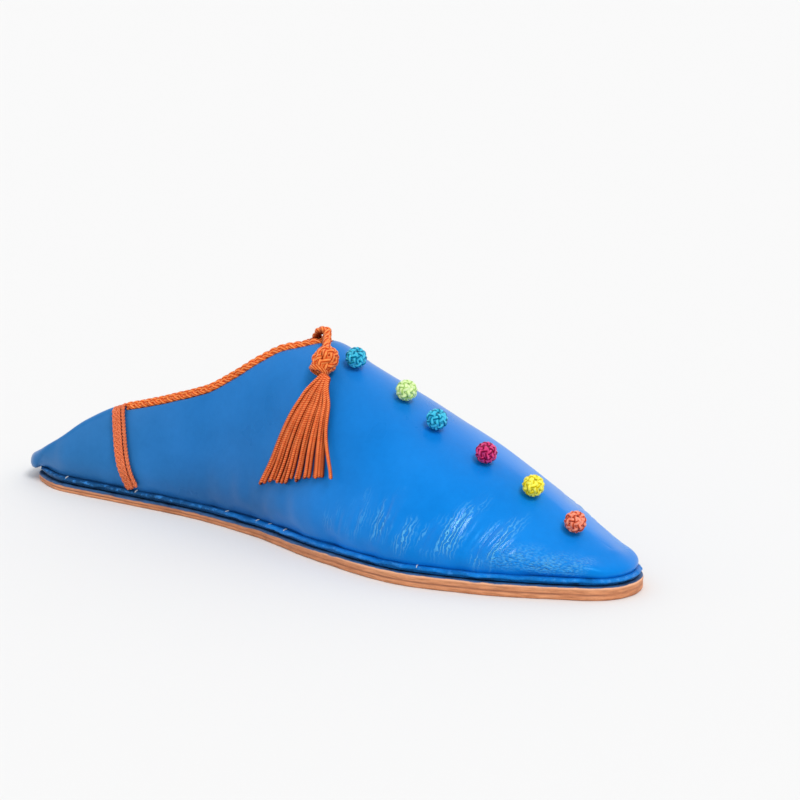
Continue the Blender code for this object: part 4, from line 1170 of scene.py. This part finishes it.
# painted shade, middle tone and painted highlight of each silk
silk_colours = {
    "teal": ((0.001, 0.090, 0.200), (0.006, 0.340, 0.580), (0.080, 0.640, 0.900)),
    "lime": ((0.340, 0.560, 0.120), (0.620, 0.920, 0.320), (0.820, 1.000, 0.520)),
    "magenta": ((0.110, 0.001, 0.018), (0.460, 0.008, 0.095), (0.820, 0.080, 0.270)),
    "yellow": ((0.580, 0.420, 0.006), (0.950, 0.820, 0.020), (1.000, 0.980, 0.140)),
    "red_orange": ((0.330, 0.030, 0.010), (0.840, 0.130, 0.050), (1.000, 0.360, 0.240)),
}
button_silks = {
    name: silk(f"{name}_button_silk", *tones, turns=3.0, pitch=3.0, depth=0.00014, sunk_to=0.15, proud_at=0.62)
    for name, tones in silk_colours.items()
}


def ridge_place(share, off):
    """The outside of the vamp right of its ridge, and the outward normal there."""
    girth = girth_at(share)
    foot = arch(girth, 0.0)
    power = section_power(foot[0])
    rise = max(0.0, 1 - (off / foot[1]) ** power) ** (1 / power)
    here = arch(girth, rise)
    ahead = arch(girth + 0.0015, rise) - arch(girth - 0.0015, rise)
    inward = arch(girth, max(rise - 0.01, 0)) - here
    normal = unit(np.cross(ahead, inward))
    return here * mirror_y, normal * np.sign(normal[2]) * mirror_y


# how often a knot's cord goes round the ball, and how often it sways up and down it
turns, bights = 7, 8


def knot_rings(centre, axis, radius, squash, sway, strand, tilt, lift):
    """A closed plait worked round a ball, that passes over and under itself by turns. Its rings, with how far
    each of their points stands out, painted as light and shade."""
    t = np.linspace(0, 2 * np.pi, 110 * turns)
    latitude = sway * np.sin(bights * t)
    longitude = turns * t + tilt
    passed = (t * bights / np.pi - 0.5) * turns
    sways = np.floor(passed / turns)
    phase = (turns - 1) * sways + np.clip(passed - sways * turns - 0.5, 0, turns - 1)
    out = radius - strand - lift + lift * np.sin(np.pi * phase)
    ball = np.stack([
        out * np.cos(latitude) * np.cos(longitude), out * np.cos(latitude) * np.sin(longitude),
        squash * out * np.sin(latitude),
    ], -1)
    turned = np.array(Vector(axis).to_track_quat("Z", "X").to_matrix())
    rings = cord_rings(centre + ball @ turned.T, strand, 8)
    # painted light: points standing out on the ball are painted lit, deep ones painted in shade
    far = np.linalg.norm((rings - centre) @ turned * (1, 1, 1 / squash), axis=-1)
    return rings, np.clip((far - (radius - 2 * strand - 2 * lift)) / (2 * strand + 2 * lift), 0, 1)


def ball_grid(radius, squash):
    """The ball that a knot is worked round."""
    polar = np.linspace(np.pi / 2, -np.pi / 2, 16)[:, None]
    round_ = 2 * np.pi * np.arange(24) / 24
    return radius * np.stack([
        np.cos(polar) * np.cos(round_), np.cos(polar) * np.sin(round_), squash * np.sin(polar) * np.ones(24),
    ], -1)


for number, (share, off, colour, slot, turn) in enumerate(buttons, start=1):
    place, normal = ridge_place(share, off)
    centre = place + normal * (wall / 2 + piece_gap + button_radius * button_squash)
    knot = knot_rings(
        centre, normal, button_radius + 0.0003, button_squash, math.radians(64), 0.00088, math.radians(turn),
        0.00034,
    )
    core = ball_grid(button_radius * 0.72, 1.0) + centre
    # painted shade: the ball under the knot's cords is painted dark
    mesh = cord_mesh(f"silk_button_{number}", [knot, (core, 0.25)])
    piece_of(f"silk_button_{number}", mesh, [button_silks[colour]], slot, f"button_{number}")


# Tassel. A hank of twisted silk cords is tied into a woven knot and hung from the collar cord's peak by a loop.
# Its cords fan out over the right side of the vamp, cut to nearly one length, and one strays forward.
knot_radius = 0.0048
knot_at, knot_rise = 0.526, 0.930
fan_top_at, fan_top_rise, fan_top_half = 0.541, 0.900, 0.011
fan_back_at, fan_front_at = 0.466, 0.604
fan_back_rise, fan_front_rise = 0.215, 0.43
strand_radius = 0.00070
strand_count = 23
tassel_silk = silk(
    "tassel_cord_silk", (0.46, 0.034, 0.006), (0.95, 0.114, 0.020), (1.0, 0.335, 0.115),
    turns=3.0, pitch=0.80, depth=0.00012, sunk_to=0.32, proud_at=0.82,
)


def wall_out(girth, rise):
    """The outward normal of the vamp's wall."""
    across = arch(np.minimum(girth + 0.002, 1.0), rise) - arch(girth - 0.002, rise)
    up = arch(girth, np.minimum(rise + 0.002, 1.0)) - arch(girth, rise - 0.002)
    return unit(np.cross(up, across))


def strand_point(across, down, lift):
    """A point of the fan: across it from back to front, down it from knot to tips, lifted off the leather."""
    bowed = down**1.15
    back = girth_at(fan_top_at - fan_top_half + (fan_back_at - fan_top_at + fan_top_half) * bowed)
    front = girth_at(fan_top_at + fan_top_half + (fan_front_at - fan_top_at - fan_top_half) * bowed)
    girth = back + (front - back) * across
    low = fan_back_rise + (fan_front_rise - fan_back_rise) * across
    rise = np.sin(np.arcsin(fan_top_rise) + (np.arcsin(low) - np.arcsin(fan_top_rise)) * down)
    return (arch(girth, rise) + wall_out(girth, rise) * np.asarray(lift)[..., None]) * mirror_y


knot_girth = float(girth_at(knot_at))
knot_off = wall / 2 + piece_gap + knot_radius * 0.98
knot_centre = (arch(knot_girth, knot_rise) + wall_out(knot_girth, knot_rise) * knot_off) * mirror_y
knot_axis = unit(strand_point(0.5, 0.0, 0.004) - strand_point(0.5, 0.35, 0.004))
strand_cords = []
luck = np.random.default_rng(19)
for number in range(strand_count):
    layer = (0, 2, 1)[number % 3]
    across = (number + 0.5) / strand_count * 0.955 + luck.uniform(-0.006, 0.006)
    length = 1.0 + luck.uniform(-0.022, 0.012) + 0.045 * math.exp(-(((across - 0.36) / 0.24) ** 2))
    steps = np.linspace(0, 1, 110)
    down = 0.02 + (length - 0.02) * steps
    across = across + luck.uniform(-0.02, 0.02) * np.sin(np.pi * steps) + luck.uniform(-0.018, 0.018) * steps
    if number == strand_count - 1:
        across = 0.93 + 0.085 * ease((steps - 0.45) / 0.5)
    across = 0.5 + (across - 0.5) * (0.50 + 0.50 * ease(down / 0.30))
    near_knot = 1 - ease(down / 0.35)
    rest = wall / 2 + piece_gap + strand_radius + layer * 0.9 * strand_radius + near_knot * 0.0030
    rest = rest + 0.0003 * np.sin(5 * steps + number)
    line = strand_point(across, down, rest)
    out = strand_point(across, down, rest + mm) - line
    rings = cord_rings(line, strand_radius, 8)
    # painted light and shade: strands lit on the side facing out, shaded against the leather, lower layers
    # darker
    facing = ((rings - line[:, None]) * out[:, None]).sum(-1) / (mm * strand_radius)
    strand_cords.append((rings, np.clip(0.5 + 0.5 * facing, 0, 1) * (0.60 + 0.18 * layer)))
piece_of("tassel_cords", cord_mesh("tassel_cords", strand_cords), [tassel_silk], "orange_silk", "tassel_skirt")

head_cords = [knot_rings(
    knot_centre, knot_axis, knot_radius + 0.0002, 1.22, math.radians(66), 0.00112, 0.3, 0.00038,
)]
head_turn = np.array(Vector(knot_axis).to_track_quat("Z", "X").to_matrix())
# painted shade: the ball inside the woven knot is painted dark
head_cords.append((knot_centre + ball_grid(knot_radius * 0.80, 1.24) @ head_turn.T, 0.25))
cuff_radius, cuff_winds = 0.0032, 4.2 * np.pi
cuff = []
for angle in np.linspace(0, cuff_winds, 90):
    level = -knot_radius * (0.86 + 0.24 * angle / cuff_winds)
    way = head_turn[:, 0] * math.cos(angle) + head_turn[:, 1] * math.sin(angle)
    cuff.append(knot_centre + knot_axis * level + way * cuff_radius)
# painted light: the cuff is painted a little short of fully lit
head_cords.append((cord_rings(np.array(cuff), 0.00070, 8), 0.7))
piece_of("tassel_knot", cord_mesh("tassel_knot", head_cords), [orange_silk], "orange_silk", "tassel_head")

loop_reach = 0.0040
loop_line = []
for share in np.linspace(0, 1, 24):
    angle = math.radians(-20 + 135 * share)
    loop_line.append(peak + (-loop_reach * math.cos(angle), -0.0012 * share, loop_reach * math.sin(angle)))
loop_line.append(knot_centre + unit(loop_line[-1] - knot_centre) * knot_radius * 0.9)
loop_line = evenly(np.array(loop_line), 0.0003)[0]
loop_side = unit(np.cross(np.gradient(loop_line, axis=0), (0, 1.0, 0)))
loop_across = np.broadcast_to(np.array((0, 1.0, 0)), loop_line.shape)
loop_cords = plaited(loop_line, loop_across, loop_side, 0.00088, 0.00050, 0.0078, 0.00104)
piece_of("tassel_hanger", cord_mesh("tassel_hanger", loop_cords), [orange_silk], "orange_silk", "tassel_loop")
